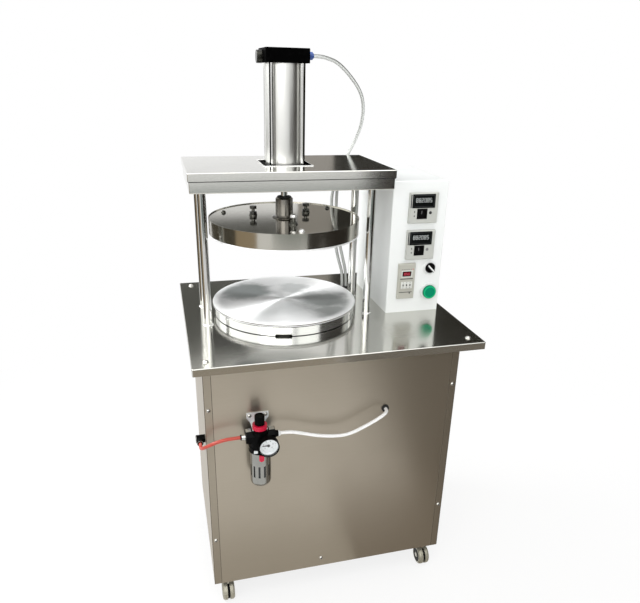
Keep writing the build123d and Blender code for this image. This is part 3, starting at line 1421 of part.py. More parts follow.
with BuildPart() as bowl_guard:
    with Locations((REG_X, REG_Y, GUARD_BOTTOM)):
        Cylinder(GUARD_R, GUARD_H, align=MIN_Z)
    fillet(edges().filter_by(GeomType.CIRCLE).sort_by(Axis.Z)[0], GUARD_ROUND)
    offset(amount=-GUARD_WALL, openings=faces().sort_by(Axis.Z)[-1])
    with Locations((REG_X, REG_Y, GUARD_BOTTOM + GUARD_SLOT_RISE)):
        with PolarLocations(GUARD_R, GUARD_SLOTS, start_angle=GUARD_SLOT_START):
            Box(4 * GUARD_WALL, GUARD_SLOT_W, GUARD_SLOT_H, mode=Mode.SUBTRACT)
    with Locations(LATCH_PLACE):
        with Locations((GUARD_R, 0, TONGUE_H / 2 + CLEAR)):
            Box(
                4 * GUARD_WALL,
                TONGUE_W + 2 * CLEAR,
                TONGUE_SLOT_H,
                align=(Align.CENTER, Align.CENTER, Align.MAX),
                mode=Mode.SUBTRACT,
            )
finish(bowl_guard, "bowl_guard")

with BuildPart() as filter_bowl:
    with Locations((REG_X, REG_Y, BOWL_BOTTOM)):
        Cylinder(BOWL_R, REG_BOTTOM - BOWL_BOTTOM, align=MIN_Z)
    fillet(edges().filter_by(GeomType.CIRCLE).sort_by(Axis.Z)[0], GUARD_ROUND)
    offset(amount=-BOWL_WALL, openings=faces().sort_by(Axis.Z)[-1])
finish(filter_bowl, "filter_bowl")

with BuildPart() as bowl_latch:
    with Locations(LATCH_PLACE):
        with Locations((GUARD_R + SEAM, 0, 0)):
            Box(LATCH_T, LATCH_W, LATCH_H, align=(Align.MIN, Align.CENTER, Align.CENTER))
    fillet(edges().group_by(Axis.Z)[0].sort_by(SortBy.LENGTH)[:2], LATCH_ROUND)
    with Locations(LATCH_PLACE):
        with Locations((GUARD_R + SEAM, 0, 0)):
            Box(TONGUE_L, TONGUE_W, TONGUE_H, align=(Align.MAX, Align.CENTER, Align.CENTER))
finish(bowl_latch, "bowl_latch")

# Pressure gauge

GAUGE_PLANE = forward(GAUGE_X, GAUGE_BACK, GAUGE_Z)
NEEDLE_BACK = GAUGE_WALL + DIAL_PLATE_T + NEEDLE_LIFT

with BuildPart() as gauge_case:
    turned(
        GAUGE_PLANE,
        [
            (0, -GAUGE_STEM_L),
            (GAUGE_STEM_R, -GAUGE_STEM_L),
            (GAUGE_STEM_R, 0),
            (GAUGE_R, 0),
            (GAUGE_R, GAUGE_DEPTH),
            (GAUGE_INSIDE_R, GAUGE_DEPTH),
            (GAUGE_INSIDE_R, LENS_SEAT),
            (GAUGE_INSIDE_R - LENS_LEDGE, LENS_SEAT),
            (GAUGE_INSIDE_R - LENS_LEDGE, GAUGE_WALL),
            (0, GAUGE_WALL),
        ],
    )
finish(gauge_case, "gauge_case")

with BuildPart() as gauge_dial:
    turned(
        GAUGE_PLANE,
        [
            (0, GAUGE_WALL),
            (GAUGE_INSIDE_R - LENS_LEDGE - SEAM, GAUGE_WALL),
            (GAUGE_INSIDE_R - LENS_LEDGE - SEAM, GAUGE_WALL + DIAL_PLATE_T),
            (DIAL_PIN_R, GAUGE_WALL + DIAL_PLATE_T),
            (DIAL_PIN_R, GAUGE_WALL + DIAL_PLATE_T + DIAL_PIN_L),
            (0, GAUGE_WALL + DIAL_PLATE_T + DIAL_PIN_L),
        ],
    )
finish(gauge_dial, "gauge_dial")

with BuildPart() as gauge_lens:
    turned(
        GAUGE_PLANE,
        [
            (0, LENS_SEAT),
            (GAUGE_INSIDE_R - SEAM, LENS_SEAT),
            (GAUGE_INSIDE_R - SEAM, LENS_SEAT + LENS_T),
            (0, LENS_SEAT + LENS_T),
        ],
    )
finish(gauge_lens, "gauge_lens")

with BuildPart() as gauge_needle:
    needle_face = Plane(origin=(0, GAUGE_BACK - NEEDLE_BACK, 0), x_dir=(1, 0, 0), z_dir=(0, -1, 0))
    with BuildSketch(needle_face):
        with Locations((GAUGE_X, GAUGE_Z)):
            Circle(NEEDLE_HUB_R)
        with BuildLine():
            Polyline(
                (GAUGE_X, GAUGE_Z - NEEDLE_W),
                (GAUGE_X - NEEDLE_L, GAUGE_Z - NEEDLE_W / 4),
                (GAUGE_X - NEEDLE_L, GAUGE_Z + NEEDLE_W / 4),
                (GAUGE_X, GAUGE_Z + NEEDLE_W),
                close=True,
            )
        make_face()
        with Locations((GAUGE_X, GAUGE_Z)):
            Circle(DIAL_PIN_R + RUN_FIT, mode=Mode.SUBTRACT)
    extrude(amount=NEEDLE_T)
finish(gauge_needle, "gauge_needle")

# Air fittings, grommets and the valve

CAP_RIGHT = PRESS_X + CAP_SIDE / 2
CAP_LEFT = PRESS_X - CAP_SIDE / 2
CABINET_LEFT = -CABINET_W / 2

with BuildPart() as air_fittings:
    turned(
        sideways(REG_X - PORT_REACH, REG_Y, PORT_Z, -1),
        [
            (0, -THREAD_L),
            (THREAD_R, -THREAD_L),
            (THREAD_R, 0),
            (FITTING_HEX_R, 0),
            (FITTING_HEX_R, FITTING_HEX_L),
            (FITTING_R, FITTING_HEX_L),
            (FITTING_R, INLET_L),
            (0, INLET_L),
        ],
    )
    turned(
        sideways(REG_X + PORT_REACH, REG_Y, PORT_Z, 1),
        [
            (0, -THREAD_L),
            (THREAD_R, -THREAD_L),
            (THREAD_R, 0),
            (FITTING_HEX_R, 0),
            (FITTING_HEX_R, FITTING_HEX_L),
            (FITTING_R, FITTING_HEX_L),
            (FITTING_R, OUTLET_L),
            (0, OUTLET_L),
        ],
    )
    turned(
        sideways(CAP_RIGHT, PRESS_Y, CAP_PORT_Z, 1),
        [
            (0, -THREAD_L),
            (THREAD_R, -THREAD_L),
            (THREAD_R, 0),
            (FITTING_HEX_R, 0),
            (FITTING_HEX_R, CAP_FITTING_HEX_L),
            (BULKHEAD_R, CAP_FITTING_HEX_L),
            (BULKHEAD_R, CAP_FITTING_L),
            (0, CAP_FITTING_L),
        ],
    )
    turned(
        sideways(CAP_LEFT, PRESS_Y, CAP_PLUG_Z, -1),
        [(0, -THREAD_L), (THREAD_R, -THREAD_L), (THREAD_R, CAP_PLUG_L / 2), (0, CAP_PLUG_L / 2)],
    )
    plug_face = Plane(origin=(CAP_LEFT, 0, 0), x_dir=(0, -1, 0), z_dir=(-1, 0, 0))
    hexagons(plug_face, [(-PRESS_Y, CAP_PLUG_Z)], CAP_PLUG_AF, CAP_PLUG_L)
    turned(
        sideways(CABINET_LEFT, ELBOW_Y, ELBOW_Z, -1),
        [
            (0, -THREAD_L),
            (THREAD_R, -THREAD_L),
            (THREAD_R, 0),
            (ELBOW_R, 0),
            (ELBOW_R, ELBOW_L),
            (0, ELBOW_L),
        ],
    )
    turned(
        forward(CABINET_LEFT - ELBOW_PORT_OUT, ELBOW_Y, ELBOW_Z),
        [(0, 0), (ELBOW_PORT_R, 0), (ELBOW_PORT_R, ELBOW_PORT_L), (0, ELBOW_PORT_L)],
    )
    turned(
        upright(BULKHEAD_X, BULKHEAD_Y),
        [
            (0, TRAY_BOTTOM - BULKHEAD_DROP),
            (BULKHEAD_R, TRAY_BOTTOM - BULKHEAD_DROP),
            (BULKHEAD_R, TRAY_BOTTOM),
            (THREAD_R, TRAY_BOTTOM),
            (THREAD_R, CROSS_PLATE_BOTTOM),
            (BULKHEAD_NUT_R, CROSS_PLATE_BOTTOM),
            (BULKHEAD_NUT_R, CROSS_PLATE_BOTTOM + BULKHEAD_NUT_H),
            (0, CROSS_PLATE_BOTTOM + BULKHEAD_NUT_H),
        ],
    )
    with BuildLine() as pipe_path:
        FilletPolyline(
            (BULKHEAD_X, BULKHEAD_Y, CROSS_PLATE_BOTTOM),
            (BULKHEAD_X, BULKHEAD_Y, FRONT_PORT_Z),
            (BULKHEAD_X, PRESS_Y, FRONT_PORT_Z),
            (CAP_RIGHT - THREAD_L, PRESS_Y, FRONT_PORT_Z),
            radius=PIPE_BEND,
        )
    with BuildSketch(Plane.XY.offset(CROSS_PLATE_BOTTOM)):
        with Locations((BULKHEAD_X, BULKHEAD_Y)):
            Circle(PIPE_R)
    sweep(path=pipe_path.wires()[0])
finish(air_fittings, "air_fittings")

with BuildPart() as grommets:
    turned(
        forward(PANEL_GROMMET_X, PANEL_FRONT, PANEL_GROMMET_Z),
        [
            (0, -PANEL_SHEET),
            (GROMMET_NECK_R, -PANEL_SHEET),
            (GROMMET_NECK_R, 0),
            (GROMMET_R, 0),
            (GROMMET_R, GROMMET_T),
            (0, GROMMET_T),
        ],
    )
    with BuildSketch(Plane.XY.offset(TABLE_TOP)):
        with Locations((TABLE_GROMMET_X, TABLE_GROMMET_Y)):
            SlotOverall(TABLE_GROMMET_W, TABLE_GROMMET_D)
    extrude(amount=GROMMET_T)
    with BuildSketch(Plane.XY.offset(TABLE_TOP)):
        with Locations((TABLE_GROMMET_X, TABLE_GROMMET_Y)):
            SlotOverall(
                TABLE_GROMMET_W - 2 * TABLE_GROMMET_NECK, TABLE_GROMMET_D - 2 * TABLE_GROMMET_NECK
            )
    extrude(amount=-TABLE_SHEET)
    hexagons(
        FRONT_FACE.offset(-CABINET_D - GLAND_HEX_T), [(GLAND_X, GLAND_Z)], GLAND_HEX_AF, GLAND_HEX_T
    )
    turned(
        rearward(GLAND_X, -PANEL_FRONT, GLAND_Z),
        [
            (0, -PANEL_SHEET),
            (GLAND_NECK_R, -PANEL_SHEET),
            (GLAND_NECK_R, GLAND_HEX_T),
            (GLAND_R, GLAND_HEX_T),
            (GLAND_R, GLAND_HEX_T + GLAND_L),
            (0, GLAND_HEX_T + GLAND_L),
        ],
    )
finish(grommets, "grommets")

with BuildPart() as solenoid_valve:
    with BuildSketch(FRONT_FACE.offset(-PANEL_SHEET)):
        with Locations((VALVE_X, VALVE_Z)):
            Rectangle(VALVE_W, VALVE_H)
    extrude(amount=-VALVE_D)
    chamfer(faces().sort_by(Axis.Y)[-1].edges(), VALVE_EDGE)
    turned(
        sideways(VALVE_X + VALVE_W / 2, -FRAME_Y + VALVE_D / 2, VALVE_Z, 1),
        [(0, 0), (COIL_R, 0), (COIL_R, COIL_L), (0, COIL_L)],
    )
finish(solenoid_valve, "solenoid_valve")

# Free tubes

for name, route in (
    ("supply_hose", SUPPLY_ROUTE),
    ("outlet_tube", OUTLET_ROUTE),
    ("upper_port_tube", UPPER_PORT_ROUTE),
    ("lower_port_tube", LOWER_PORT_ROUTE),
):
    with BuildPart() as hose:
        free_tube(name, route)
    finish(hose, name)
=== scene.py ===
"""Looks of an automatic tortilla press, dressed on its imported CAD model.

Blender works in metres, in the CAD frame: +Z up, and the front faces -Y.
The classes of the press give sizes and places in millimetres, those of the studio in metres.
"""

import logging
import math
from dataclasses import dataclass
from enum import Enum
from typing import Sequence

import bmesh
import bpy
from mathutils import Euler, Matrix, Vector


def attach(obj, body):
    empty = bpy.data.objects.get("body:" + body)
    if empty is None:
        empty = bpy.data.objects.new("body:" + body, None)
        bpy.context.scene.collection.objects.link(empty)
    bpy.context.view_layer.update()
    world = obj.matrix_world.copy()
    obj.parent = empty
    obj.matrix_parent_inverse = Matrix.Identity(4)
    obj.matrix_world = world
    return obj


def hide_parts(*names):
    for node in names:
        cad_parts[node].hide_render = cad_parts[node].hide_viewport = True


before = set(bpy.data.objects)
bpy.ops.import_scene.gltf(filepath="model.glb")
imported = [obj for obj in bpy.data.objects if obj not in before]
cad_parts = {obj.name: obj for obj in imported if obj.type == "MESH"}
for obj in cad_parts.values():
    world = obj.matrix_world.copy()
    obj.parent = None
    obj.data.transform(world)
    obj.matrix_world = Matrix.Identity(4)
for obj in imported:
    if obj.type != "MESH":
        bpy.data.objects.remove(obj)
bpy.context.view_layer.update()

Point = tuple[float, float, float]
Pair = tuple[float, float]
Colour = tuple[float, float, float]
Profile = tuple[Pair, ...]

MM = 0.001
PRESS_AXIS: Pair = (-78.0, 17.5)
SIDES = (-1, 1)
FULL_TURN = 2 * math.pi
UPRIGHT = 90.0
SHARP_ANGLE = math.radians(32.0)
CORNER_SEGMENTS = 4
EDGE_SEGMENTS = 2
HEXAGON = 6
WHITE: Colour = (1.0, 1.0, 1.0)

log = logging.getLogger("tortilla_press")


class Facing(Enum):
    """The way that a face points, as the turns in degrees of a shape that was drawn facing up."""

    UP = (0.0, 0.0, 0.0)
    DOWN = (180.0, 0.0, 0.0)
    FRONT = (90.0, 0.0, 0.0)
    REAR = (90.0, 0.0, 180.0)
    LEFT = (90.0, 0.0, -90.0)
    RIGHT = (90.0, 0.0, 90.0)

    def matrix(self) -> Matrix:
        """The turn as a 4x4 matrix."""
        return Euler([math.radians(turn) for turn in self.value]).to_matrix().to_4x4()


class Grain(Enum):
    """The way that brush lines run on a sheet, as the share of their fineness along X, Y and Z."""

    ALONG_X = (0.012, 1.0, 1.0)
    ALONG_Z = (1.0, 1.0, 0.012)

    def stretch(self, fineness: float) -> Point:
        """The scale of a noise whose streaks run along the grain."""
        along_x, along_y, along_z = self.value
        return (along_x * fineness, along_y * fineness, along_z * fineness)


class Detail(Enum):
    """How much finer noise lies on a noise."""

    PLAIN = 2.0
    MIDDLE = 3.0
    FINE = 4.0
    FINEST = 5.0


# Shader building

NOISE_MIDDLE = 0.5
QUARTER = 0.25
EVEN: Point = (1.0, 1.0, 1.0)
MIX_SHARE = 0
MIX_FIRST = 6
MIX_SECOND = 7
MIX_COLOUR = 2


class Wire:
    """A shader socket that takes part in Python expressions."""

    def __init__(self, sheet: "NodeSheet", socket: bpy.types.NodeSocket) -> None:
        """Keeps the socket and the node sheet that it is on."""
        self.sheet = sheet
        self.socket = socket

    def _math(self, operation: str, first: object, second: object = 0.0) -> "Wire":
        """One Math node on two values."""
        return self.sheet.node("ShaderNodeMath", {"operation": operation}, {0: first, 1: second})

    def __add__(self, other: object) -> "Wire":
        """self + other."""
        return self._math("ADD", self, other)

    def __radd__(self, other: object) -> "Wire":
        """other + self."""
        return self._math("ADD", other, self)

    def __sub__(self, other: object) -> "Wire":
        """self - other."""
        return self._math("SUBTRACT", self, other)

    def __rsub__(self, other: object) -> "Wire":
        """other - self."""
        return self._math("SUBTRACT", other, self)

    def __mul__(self, other: object) -> "Wire":
        """self * other."""
        return self._math("MULTIPLY", self, other)

    def __rmul__(self, other: object) -> "Wire":
        """other * self."""
        return self._math("MULTIPLY", other, self)

    def __truediv__(self, other: object) -> "Wire":
        """self / other."""
        return self._math("DIVIDE", self, other)

    def __rtruediv__(self, other: object) -> "Wire":
        """other / self."""
        return self._math("DIVIDE", other, self)

    def above(self, limit: float) -> "Wire":
        """1 where the value is above the limit, and 0 elsewhere."""
        return self._math("GREATER_THAN", self, limit)

    def most(self, other: object) -> "Wire":
        """The larger of two values."""
        return self._math("MAXIMUM", self, other)

    def swing(self) -> "Wire":
        """How far a noise is from its middle."""
        return self - NOISE_MIDDLE


def rgba(colour: Colour) -> tuple[float, float, float, float]:
    """A colour with full alpha."""
    return (*colour, 1.0)


def toned(colour: Colour, share: float) -> Colour:
    """A colour brought down to a share of itself."""
    return tuple(share * part for part in colour)


class NodeSheet:
    """The node tree of one material or world."""

    def __init__(self, owner: bpy.types.Material | bpy.types.World) -> None:
        """Starts an empty node tree.

        Args:
            owner: The material or world that it belongs to.
        """
        owner.use_nodes = True
        self.owner = owner
        self.tree = owner.node_tree
        self.tree.nodes.clear()

    def node(
        self,
        kind: str,
        settings: dict[str, object] | None = None,
        sockets: dict[int | str, object] | None = None,
        out: int | str = 0,
    ) -> Wire:
        """Adds one node.

        Args:
            kind: The node's type.
            settings: Its properties, which are set first.
            sockets: Values or wires of its inputs.
            out: The output that is handed back.

        Returns:
            A wire from that output.
        """
        made = self.tree.nodes.new(kind)
        for key, value in (settings or {}).items():
            setattr(made, key, value)
        for key, value in (sockets or {}).items():
            if isinstance(value, Wire):
                self.tree.links.new(value.socket, made.inputs[key])
            else:
                made.inputs[key].default_value = value
        return Wire(self, made.outputs[out])

    def place(self, stretch: Point = EVEN, shift: Point = (0.0, 0.0, 0.0)) -> Wire:
        """Object coordinates, stretched and then shifted.

        Args:
            stretch: Scale along X, Y and Z.
            shift: Move that follows the scale.

        Returns:
            The coordinates as a vector wire.
        """
        where = self.node("ShaderNodeTexCoord", out="Object")
        sockets = {"Vector": where, "Location": shift, "Scale": stretch}
        return self.node("ShaderNodeMapping", {}, sockets)

    def noise(self, detail: Detail, scale: float = 1.0, stretch: Point = EVEN) -> Wire:
        """A noise from 0 to 1 on Object coordinates.

        Args:
            detail: How much finer noise lies on it.
            scale: Its fineness.
            stretch: Scale of the coordinates along X, Y and Z.

        Returns:
            The noise.
        """
        sockets = {"Vector": self.place(stretch), "Scale": scale, "Detail": detail.value}
        return self.node("ShaderNodeTexNoise", {}, sockets)

    def noise_along(self, value: Wire) -> Wire:
        """A noise from 0 to 1 along a single value."""
        sockets = {"W": value, "Scale": 1.0}
        return self.node("ShaderNodeTexNoise", {"noise_dimensions": "1D"}, sockets)

    def length(self, where: Wire) -> Wire:
        """The length of a vector."""
        return self.node("ShaderNodeVectorMath", {"operation": "LENGTH"}, {0: where}, "Value")

    def radius(self, centre: Pair) -> Wire:
        """Distance in metres from an upright axis that is given in millimetres."""
        x, y = centre
        return self.length(self.place((1.0, 1.0, 0.0), (-x * MM, -y * MM, 0.0)))

    def ease(self, value: Wire, reach: Pair, ends: Pair) -> Wire:
        """A number that goes smoothly from one end to the other.

        Args:
            value: The value that drives it.
            reach: The value where it starts and where it ends.
            ends: The number there.

        Returns:
            The number.
        """
        sockets = {"Value": value, "From Min": reach[0], "From Max": reach[1]}
        sockets |= {"To Min": ends[0], "To Max": ends[1]}
        return self.node("ShaderNodeMapRange", {"interpolation_type": "SMOOTHSTEP"}, sockets)

    def fade(self, value: Wire, start: float, end: float, most: float = 1.0) -> Wire:
        """A share that falls smoothly from its most to 0 between two values."""
        return self.ease(value, (start, end), (most, 0.0))

    def tint(self, share: Wire, first: Wire | Colour, second: Colour) -> Wire:
        """A colour between two.

        Args:
            share: How much of the second colour it has, from 0 to 1.
            first: The first colour.
            second: The second colour.

        Returns:
            The colour.
        """
        start = first if isinstance(first, Wire) else rgba(first)
        settings = {"data_type": "RGBA", "clamp_factor": True}
        sockets = {MIX_SHARE: share, MIX_FIRST: start, MIX_SECOND: rgba(second)}
        return self.node("ShaderNodeMix", settings, sockets, MIX_COLOUR)

    def bump(self, height: Wire, strength: float, depth: float) -> Wire:
        """A bumped normal from a height map."""
        sockets = {"Height": height, "Strength": strength, "Distance": depth}
        return self.node("ShaderNodeBump", {}, sockets)

    def glow(self, colour: Colour) -> Wire:
        """A shader that shines with just its colour."""
        return self.node("ShaderNodeEmission", {}, {"Color": rgba(colour), "Strength": 1.0})

    def end(self, kind: str, surface: Wire) -> None:
        """Ends the sheet in an output node of the given type."""
        made = self.tree.nodes.new(kind)
        self.tree.links.new(surface.socket, made.inputs["Surface"])


# Finishes

Inputs = dict[str, object]


@dataclass(frozen=True)
class Finish:
    """A finish that is made into a material on first use."""

    name: str

    def material(self) -> bpy.types.Material:
        """Finds the finish's material, or makes it.

        Returns:
            The material.
        """
        label = f"{self.name}_finish"
        ready = bpy.data.materials.get(label)
        if ready:
            return ready
        sheet = NodeSheet(bpy.data.materials.new(label))
        shader = sheet.node("ShaderNodeBsdfPrincipled", {}, self.inputs(sheet))
        sheet.end("ShaderNodeOutputMaterial", shader)
        return sheet.owner

    def inputs(self, sheet: NodeSheet) -> Inputs:
        """Values and wires of the Principled shader's inputs."""
        raise NotImplementedError


@dataclass(frozen=True)
class BrushedSheet(Finish):
    """Stainless sheet with brush lines, faint handling clouds and slightly darker patches."""

    light: Colour
    dark: Colour
    grain: Grain
    roughness: float
    fineness: float = 2600.0
    scratch_fineness: float = 520.0
    line_strength: float = 0.22
    line_depth: float = 0.00004
    scratch_relief: float = 0.6
    cloud_size: float = 5.0
    cloud_tone: float = 0.65
    line_tone: float = 0.2
    scratch_tone: float = 0.15
    rough_swing: float = 0.1
    line_swing: float = 0.06
    anisotropy: float = 0.0

    def inputs(self, sheet: NodeSheet) -> Inputs:
        """Brush lines drive the bump, and clouds the tone and the gloss.

        Args:
            sheet: The material's node sheet.

        Returns:
            The shader's inputs.
        """
        lines = sheet.noise(Detail.FINE, stretch=self.grain.stretch(self.fineness))
        scratches = sheet.noise(Detail.PLAIN, stretch=self.grain.stretch(self.scratch_fineness))
        clouds = sheet.noise(Detail.FINE, self.cloud_size)
        share = self.cloud_tone * clouds + self.line_tone * lines + self.scratch_tone * scratches
        relief = lines + self.scratch_relief * scratches
        return {
            "Base Color": sheet.tint(share, self.light, self.dark),
            "Metallic": 1.0,
            "Roughness": self.gloss(sheet, clouds, lines),
            "Anisotropic": self.anisotropy,
            "Anisotropic Rotation": QUARTER,
            "Normal": sheet.bump(relief, self.line_strength, self.line_depth),
        }

    def gloss(self, sheet: NodeSheet, clouds: Wire, lines: Wire) -> Wire:
        """Roughness over the sheet.

        Args:
            sheet: The material's node sheet.
            clouds: Slow noise.
            lines: Noise along the grain.

        Returns:
            The roughness.
        """
        return self.roughness + self.rough_swing * clouds.swing() + self.line_swing * lines.swing()


@dataclass(frozen=True)
class PanSheet(BrushedSheet):
    """Round pan whose upright wall is brushed duller than its floor."""

    wall_radius: float = 175.5
    wall_roughness: float = 0.16

    def gloss(self, sheet: NodeSheet, clouds: Wire, lines: Wire) -> Wire:
        """Roughness that steps up at the wall.

        Args:
            sheet: The material's node sheet.
            clouds: Slow noise.
            lines: Noise along the grain.

        Returns:
            The roughness.
        """
        wall = sheet.radius(PRESS_AXIS).above(self.wall_radius * MM)
        floor = super().gloss(sheet, clouds, lines)
        return floor + (self.wall_roughness - self.roughness) * wall


@dataclass(frozen=True)
class WipedSheet(BrushedSheet):
    """Sheet with one patch that hands and cloths have wiped dull."""

    patch_centre: Pair = (160.0, -170.0)
    patch_reach: Pair = (35.0, 85.0)
    patch_roughness: float = 0.27

    def gloss(self, sheet: NodeSheet, clouds: Wire, lines: Wire) -> Wire:
        """Roughness that rises inside the wiped patch.

        Args:
            sheet: The material's node sheet.
            clouds: Slow noise.
            lines: Noise along the grain.

        Returns:
            The roughness.
        """
        near, far = self.patch_reach
        share = sheet.fade(sheet.radius(self.patch_centre), near * MM, far * MM)
        return super().gloss(sheet, clouds, lines) + (self.patch_roughness - self.roughness) * share


@dataclass(frozen=True)
class ShadePatch:
    """A darker patch of painted shade on a plate."""

    centre: Pair
    reach: float
    depth: float


@dataclass(frozen=True)
class TurnedMetal(Finish):
    """Metal turned on a lathe, with fine rings about its own upright axis."""

    colour: Colour
    shade: Colour
    centre: Pair
    roughness: float
    ring_pitch: float = 0.5
    ring_strength: float = 0.12
    ring_depth: float = 0.00003
    ring_swing: float = 0.05
    band_rate: float = 0.04
    band_tone: float = 0.5
    band_swing: float = 0.08
    cloud_size: float = 14.0
    cloud_tone: float = 0.5
    anisotropy: float = 0.75
    stain: float = 0.0
    stain_and_shade_colour: Colour = (0.36, 0.38, 0.37)
    stain_size: float = 8.0
    stain_floor: float = 0.4
    clean_rim: Pair = (128.0, 170.0)
    dull_rim: float = 0.0
    shade_patches: tuple[ShadePatch, ...] = ()
    shade_patch_core: float = 0.4
    shade_patch_edge: float = 60.0
    shade_patch_grain: float = 26.0

    def stains_and_shade(self, sheet: NodeSheet) -> Wire:
        """Cloudy stain patches, and patches of painted shade with ragged edges.

        Args:
            sheet: The material's node sheet.

        Returns:
            The share of stain and painted shade, from 0 to 1.
        """
        cloudy = sheet.noise(Detail.PLAIN, self.stain_size)
        patches = self.stain * (cloudy - self.stain_floor).most(0.0)
        ragged = self.shade_patch_edge * MM * sheet.noise(Detail.FINE, self.shade_patch_grain).swing()
        # Painted shade: each patch darkens the plate's colour.
        for mark in self.shade_patches:
            away = sheet.radius(mark.centre) + ragged
            core = self.shade_patch_core * mark.reach
            patches = patches.most(sheet.fade(away, core * MM, mark.reach * MM, mark.depth))
        return patches

    def inputs(self, sheet: NodeSheet) -> Inputs:
        """Rings follow the distance from the axis, and stain and painted shade fade out towards the
        rim.

        Args:
            sheet: The material's node sheet.

        Returns:
            The shader's inputs.
        """
        radius = sheet.radius(self.centre)
        turns = radius / (self.ring_pitch * MM)
        rings = sheet.noise_along(turns)
        bands = sheet.noise_along(turns * self.band_rate)
        clouds = sheet.noise(Detail.MIDDLE, self.cloud_size)
        share = self.band_tone * bands + self.cloud_tone * clouds
        bare = sheet.tint(share, self.colour, self.shade)
        rim_start, rim_end = self.clean_rim
        inside = sheet.fade(radius, rim_start * MM, rim_end * MM)
        gloss = self.roughness + self.band_swing * bands.swing() + self.ring_swing * rings.swing()
        return {
            "Base Color": sheet.tint(self.stains_and_shade(sheet) * inside, bare, self.stain_and_shade_colour),
            "Metallic": 1.0 - self.dull_rim * (1.0 - inside),
            "Roughness": gloss,
            "Anisotropic": self.anisotropy,
            "Anisotropic Rotation": QUARTER,
            "Normal": sheet.bump(rings, self.ring_strength, self.ring_depth),
        }


@dataclass(frozen=True)
class PolishedMetal(Finish):
    """Plated or polished metal with faint smudges and hair lines."""

    colour: Colour
    roughness: float
    metallic: float = 1.0
    smudge: float = 0.12
    smudge_size: float = 28.0
    smudge_floor: float = 0.4
    smudge_tone: float = 0.82
    hair_stretch: Point = (90.0, 90.0, 2200.0)
    hair_strength: float = 0.04
    hair_depth: float = 0.00003

    def inputs(self, sheet: NodeSheet) -> Inputs:
        """Smudges swing the gloss, and hair lines run round the piece.

        Args:
            sheet: The material's node sheet.

        Returns:
            The shader's inputs.
        """
        smudges = sheet.noise(Detail.FINE, self.smudge_size)
        hairs = sheet.noise(Detail.MIDDLE, stretch=self.hair_stretch)
        return {
            "Base Color": sheet.tint(smudges, self.colour, toned(self.colour, self.smudge_tone)),
            "Metallic": self.metallic,
            "Roughness": self.roughness + self.smudge * (smudges - self.smudge_floor),
            "Normal": sheet.bump(hairs, self.hair_strength, self.hair_depth),
        }


@dataclass(frozen=True)
class Moulding(Finish):
    """Moulded plastic or rubber, with a fine texture and a slight drift of tone."""

    colour: Colour
    roughness: float
    drift: float = 0.1
    drift_size: float = 40.0
    drift_swing: float = 0.12
    grain_size: float = 1500.0
    grain_strength: float = 0.1
    grain_depth: float = 0.00008
    grain_swing: float = 0.05
    gloss: float = 0.5
    coat: float = 0.0
    coat_roughness: float = 0.08

    def inputs(self, sheet: NodeSheet) -> Inputs:
        """A fine spark texture bumps the surface, and a slow noise moves its tone.

        Args:
            sheet: The material's node sheet.

        Returns:
            The shader's inputs.
        """
        spark = sheet.noise(Detail.PLAIN, self.grain_size)
        slow = sheet.noise(Detail.MIDDLE, self.drift_size)
        swings = self.drift_swing * slow.swing() + self.grain_swing * spark.swing()
        return {
            "Base Color": sheet.tint(slow, self.colour, toned(self.colour, 1.0 - self.drift)),
            "Roughness": self.roughness + swings,
            "Specular IOR Level": self.gloss,
            "Coat Weight": self.coat,
            "Coat Roughness": self.coat_roughness,
            "Normal": sheet.bump(spark, self.grain_strength, self.grain_depth),
        }


@dataclass(frozen=True)
class PowderCoat(Finish):
    """Baked powder paint with an orange-peel skin."""

    colour: Colour
    roughness: float = 0.34
    peel_size: float = 420.0
    peel_strength: float = 0.09
    peel_depth: float = 0.00025
    dust_size: float = 7.0
    dust_tone: float = 0.955
    dust_swing: float = 0.1

    def inputs(self, sheet: NodeSheet) -> Inputs:
        """The peel bumps the skin, and dust lies in slow clouds.

        Args:
            sheet: The material's node sheet.

        Returns:
            The shader's inputs.
        """
        peel = sheet.noise(Detail.PLAIN, self.peel_size)
        dust = sheet.noise(Detail.FINE, self.dust_size)
        return {
            "Base Color": sheet.tint(dust, self.colour, toned(self.colour, self.dust_tone)),
            "Roughness": self.roughness + self.dust_swing * dust.swing(),
            "Normal": sheet.bump(peel, self.peel_strength, self.peel_depth),
        }


@dataclass(frozen=True)
class CastPaint(Finish):
    """Paint on a casting, with a coarse skin that is rubbed where it stands proud."""

    colour: Colour
    rubbed: Colour
    roughness: float
    gloss: float = 0.5
    skin_size: float = 650.0
    skin_strength: float = 0.16
    skin_depth: float = 0.0002
    rub_size: float = 120.0
    rub_gain: float = 1.6
    rub_swing: float = 0.2

    def inputs(self, sheet: NodeSheet) -> Inputs:
        """A coarse skin bumps the paint, and its peaks are rubbed.

        Args:
            sheet: The material's node sheet.

        Returns:
            The shader's inputs.
        """
        skin = sheet.noise(Detail.MIDDLE, self.skin_size)
        rub = sheet.noise(Detail.FINEST, self.rub_size).swing()
        return {
            "Base Color": sheet.tint(self.rub_gain * rub.most(0.0), self.colour, self.rubbed),
            "Roughness": self.roughness + self.rub_swing * rub,
            "Specular IOR Level": self.gloss,
            "Normal": sheet.bump(skin, self.skin_strength, self.skin_depth),
        }


@dataclass(frozen=True)
class ClearMoulding(Finish):
    """Clear plastic or glass with faint haze."""

    colour: Colour
    roughness: float
    transmission: float
    haze: float = 0.06
    haze_size: float = 90.0
    haze_tone: float = 0.93
    alpha: float = 1.0
    ior: float = 1.45

    def inputs(self, sheet: NodeSheet) -> Inputs:
        """Haze swings the gloss.

        Args:
            sheet: The material's node sheet.

        Returns:
            The shader's inputs.
        """
        cloud = sheet.noise(Detail.FINE, self.haze_size)
        return {
            "Base Color": sheet.tint(cloud, self.colour, toned(self.colour, self.haze_tone)),
            "Roughness": self.roughness + self.haze * cloud,
            "Transmission Weight": self.transmission,
            "IOR": self.ior,
            "Alpha": self.alpha,
        }


